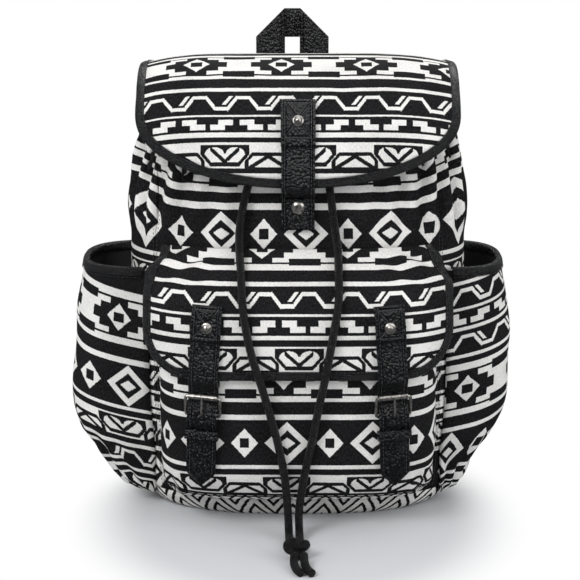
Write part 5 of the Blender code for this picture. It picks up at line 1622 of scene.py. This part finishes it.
for side, word in ((-1, "left"), (1, "right")):
    place = (
        Matrix.Translation(pocket(side * strap_turn, BAR_HEIGHT))
        @ Matrix.Rotation(side * STRAP_TURN, 4, "Z")
        @ Matrix.Rotation(-side * STRAP_TILT, 4, "Y")
    )
    across = place.to_3x3() @ Vector((1, 0, 0))

    def at(rise, out):
        return place @ Vector((0, -out, rise))

    on_lid = CLOTH / 2 + STRAP_CLEARANCE + STRAP_LEATHER / 2
    on_edge = CLOTH / 2 + BINDING_LIFT + STRAP_CLEARANCE + STRAP_LEATHER / 2 + 0.0006
    line = []
    for height, lift in ((0.201, on_lid), (0.192, on_lid), (0.182, on_lid), (0.170, on_lid), (0.160, on_lid + 0.0008)):
        line.append(at(height - BAR_HEIGHT, lid_out(height) + lift))
    for height in (0.1500, 0.1440, 0.1385):
        line.append(at(height - BAR_HEIGHT, lid_out(0.1420) + on_edge))
    line += [
        at(0.0250, 0.5 * (lid_out(0.142) + on_edge + under_roller) - 0.0008),
        at(BUCKLE_LENGTH, under_roller),
        at(0.0120, under_roller + 0.0004),
        at(0.0055, over_bar - 0.0010),
        at(0.0020, over_bar + 0.0001),
        at(-0.0030, over_bar + 0.0001),
        at(-0.0060, over_bar - 0.0001),
        at(-0.0095, in_keeper + 0.0012),
        at(KEEPER_RISE + KEEPER_HEIGHT / 2, in_keeper + 0.0001),
        at(KEEPER_RISE - KEEPER_HEIGHT / 2, in_keeper - 0.0001),
        at(-0.0260, in_keeper - 0.0008 - sag(-0.0260)),
        at(-0.0380, in_keeper - 0.0012 - sag(-0.0380)),
        at(-0.0500, in_keeper - 0.0010 - sag(-0.0500)),
        at(-0.0625, in_keeper + 0.0010 - sag(-0.0625)),
    ]
    path = smooth_line(line, 6)
    run = [(point - path[-1]).length for point in path]
    half_widths = [STRAP_WIDTH / 2 * min(1.0, 0.08 + 0.92 * min(1.0, r / STRAP_POINT)) for r in run]
    strap = rounded_strap("buckle_strap_leather_" + word, path, half_widths, STRAP_LEATHER, strap_leather, across)
    sew(strap, "leather", "buckle_strap_" + word)

    step = STRAP_LEATHER / 2 + STRAP_CLEARANCE + TAB_LEATHER / 2
    line = []
    for height in spread(16, 0.2015, 0.1725):
        line.append(at(height - BAR_HEIGHT, lid_out(height) + on_lid + step))
    tab = rounded_strap(
        "strap_tab_leather_" + word, line, [STRAP_WIDTH / 2] * len(line), TAB_LEATHER, tab_leather, across
    )
    sew(tab, "leather", "strap_tab_" + word)

    stud_x = at(0.1840 - BAR_HEIGHT, 0).x
    stud_along = LID.along_at(0.1840)
    side_way = lid(stud_x + 1e-4, stud_along) - lid(stud_x - 1e-4, stud_along)
    down_way = lid(stud_x, stud_along + 1e-4) - lid(stud_x, stud_along - 1e-4)
    out = down_way.cross(side_way).normalized()
    stack = on_lid + step + TAB_LEATHER / 2 + 0.0006
    turned_stud(
        "strap_stud_head_" + word, "strap_stud_" + word, lid(stud_x, stud_along) + out * stack, out, STUD_PROFILE
    )

    bend = WIRE_RADIUS + STRAP_CLEARANCE + BASE_LEATHER / 2
    loop = [at(rise, base_run + 0.0008 - sag(rise)) for rise in (-0.0580, -0.0545, -0.0500, -0.0400, -0.0300)]
    loop += [at(rise, base_run) for rise in (-0.0200, -0.0100, 0.0)]
    for degrees in (30, 60, 90, 120, 150):
        turn = math.radians(degrees)
        loop.append(at(bend * math.sin(turn), bar_out - bend * math.cos(turn)))
    loop += [at(rise, fold_out) for rise in (0.0, -0.0025, -0.0050)]
    half_widths = (
        [BASE_STRAP_WIDTH / 2 * share for share in (0.30, 0.60, 0.92)] + [BASE_STRAP_WIDTH / 2] * (len(loop) - 3)
    )
    base_strap = rounded_strap("base_strap_leather_" + word, loop, half_widths, BASE_LEATHER, base_leather, across)
    sew(base_strap, "leather", "base_strap_" + word)

    keeper = cad_copy("keeper_" + word, "keeper_loop_" + word)
    keeper.data.materials.append(keeper_leather)
    eased_edges(keeper, 0.0005, 50)
    sew(keeper, "leather", "keeper_" + word)
    front = in_keeper + STRAP_LEATHER / 2 + KEEPER_ROOM + KEEPER_LEATHER
    for rise in (-0.0024, 0.0024):
        row = [place @ Vector((x, -front, KEEPER_RISE + rise)) for x in spread(24, -0.0118, 0.0118)]
        outward = (place.to_3x3() @ Vector((0, -1, 0))).normalized()
        sew(stitch_run("keeper_stitches_" + word + ("_low" if rise < 0 else "_high"), row, [outward] * 24), "leather")

# Grab handle: one leather strap folded at its two upper corners and sewn to the back below the flap's seam.
HANDLE_BEVEL = 0.0006
HANDLE_X = -0.0045
HANDLE_Y = 0.0702
HANDLE_WINDOW = 0.0140
handle = cad_copy("grab_handle", "grab_handle_leather")
handle_leather = leather_finish("handle_leather", HIDE_BLACK, HIDE_WORN_AND_SHEEN, HIDE_GRAIN, HIDE_ROUGHNESS)
handle.data.materials.append(handle_leather)


eased_edges(handle, HANDLE_BEVEL)
sew(handle, "leather", "grab_handle")
for side, word in ((-1, "left"), (1, "right")):
    x = HANDLE_X + side * (HANDLE_WINDOW / 2 + 0.0012)
    roll = [Vector((x, HANDLE_Y - 0.0002, z)) for z in spread(30, 0.3310, 0.4160)]
    sew(rounded_cord("grab_handle_roll_" + word, roll, 0.0017, handle_leather, sides=14), "leather")
    outer = [
        Vector((HANDLE_X + side * (HANDLE_WINDOW / 2 + 0.0225), HANDLE_Y - 0.0001, z))
        for z in spread(40, 0.3320, 0.3930)
    ]
    slope = [
        Vector((HANDLE_X + side * (HANDLE_WINDOW / 2 + 0.0225 - 0.0190 * t), HANDLE_Y - 0.0001, 0.3930 + 0.0195 * t))
        for t in spread(14, 0.06, 1.0)
    ]
    sew(stitch_run("grab_handle_stitches_" + word, outer + slope, [Vector((0, -1, 0))] * 54), "leather")

# Shoulder straps: padded canvas, sewn below the handle, with webbing through a ladder lock at the lower end.
SHOULDER_WIDTH = 0.0400
SHOULDER_PAD = 0.0080
SHOULDER_LINE = (
    (0.040, 0.0687, 0.3165), (0.041, 0.0810, 0.3200), (0.043, 0.0925, 0.3140), (0.047, 0.1000, 0.2950),
    (0.055, 0.1035, 0.2550), (0.064, 0.1020, 0.2050), (0.072, 0.0950, 0.1600), (0.078, 0.0885, 0.1300),
)


pad_canvas = woven_black("pad_canvas", 0.0011, (0.008, 0.008, 0.009), (0.026, 0.026, 0.029))
webbing = woven_black("black_webbing", 0.0018, (0.007, 0.007, 0.008), (0.022, 0.022, 0.025), 0.9)
for side, word in ((-1, "left"), (1, "right")):
    path = smooth_line([(side * x, y, z) for x, y, z in SHOULDER_LINE], 10)
    runs = distances(path)
    count = 36
    sections = []
    for i, point in enumerate(path):
        ahead = (path[min(i + 1, len(path) - 1)] - path[max(i - 1, 0)]).normalized()
        across = Vector((1, 0, 0))
        face = ahead.cross(across).normalized()
        to_end = runs[-1] - runs[i]
        narrow = 0.72 + 0.28 * ease(to_end / 0.022)
        half = SHOULDER_WIDTH / 2 * narrow
        ring = []
        for k in range(count):
            turn = 2 * math.pi * k / count
            reach, lift = power(math.cos(turn), 0.35), power(math.sin(turn), 0.60)
            hem_dip = 1 - 0.26 * math.exp(-(((abs(reach) - 0.78) / 0.05) ** 2))
            ends = 0.45 + 0.55 * ease(min(runs[i], to_end) / 0.014)
            ring.append(point + across * half * reach + face * SHOULDER_PAD * 0.52 * lift * hem_dip * ends)
        sections.append(ring)
    pad = lofted("shoulder_pad_" + word, sections, [0.002 * k for k in range(count + 1)], runs, pad_canvas)
    sew(pad, "padding", "shoulder_strap_" + word)
    for name in ("lock_loop_", "shoulder_webbing_"):
        strip = cad_copy(name + word, name + "web_" + word)
        strip.data.materials.append(webbing)
        eased_edges(strip, 0.0003, 60)
        sew(strip, "webbing", name + word)
    lock = cad_copy("ladder_lock_" + word, "ladder_lock_body_" + word)
    if word == "left":
        lock_plastic = bpy.data.materials.new("lock_plastic")
        lock_plastic.use_nodes = True
        tree = lock_plastic.node_tree
        shader = tree.nodes["Principled BSDF"]
        spot = tree.nodes.new("ShaderNodeTexCoord").outputs["Object"]
        tree.links.new(
            ramp(tree, grain(tree, spot, 90.0), ((0.3, (0.012, 0.012, 0.013)), (0.7, (0.020, 0.020, 0.022)))),
            shader.inputs["Base Color"],
        )
        tree.links.new((Draft(tree, grain(tree, spot, 1800.0, 2.0)) * 0.25 + 0.32).socket, shader.inputs["Roughness"])
    lock.data.materials.append(lock_plastic)
    eased_edges(lock, 0.0008)
    sew(lock, "plastic", "ladder_lock_" + word)
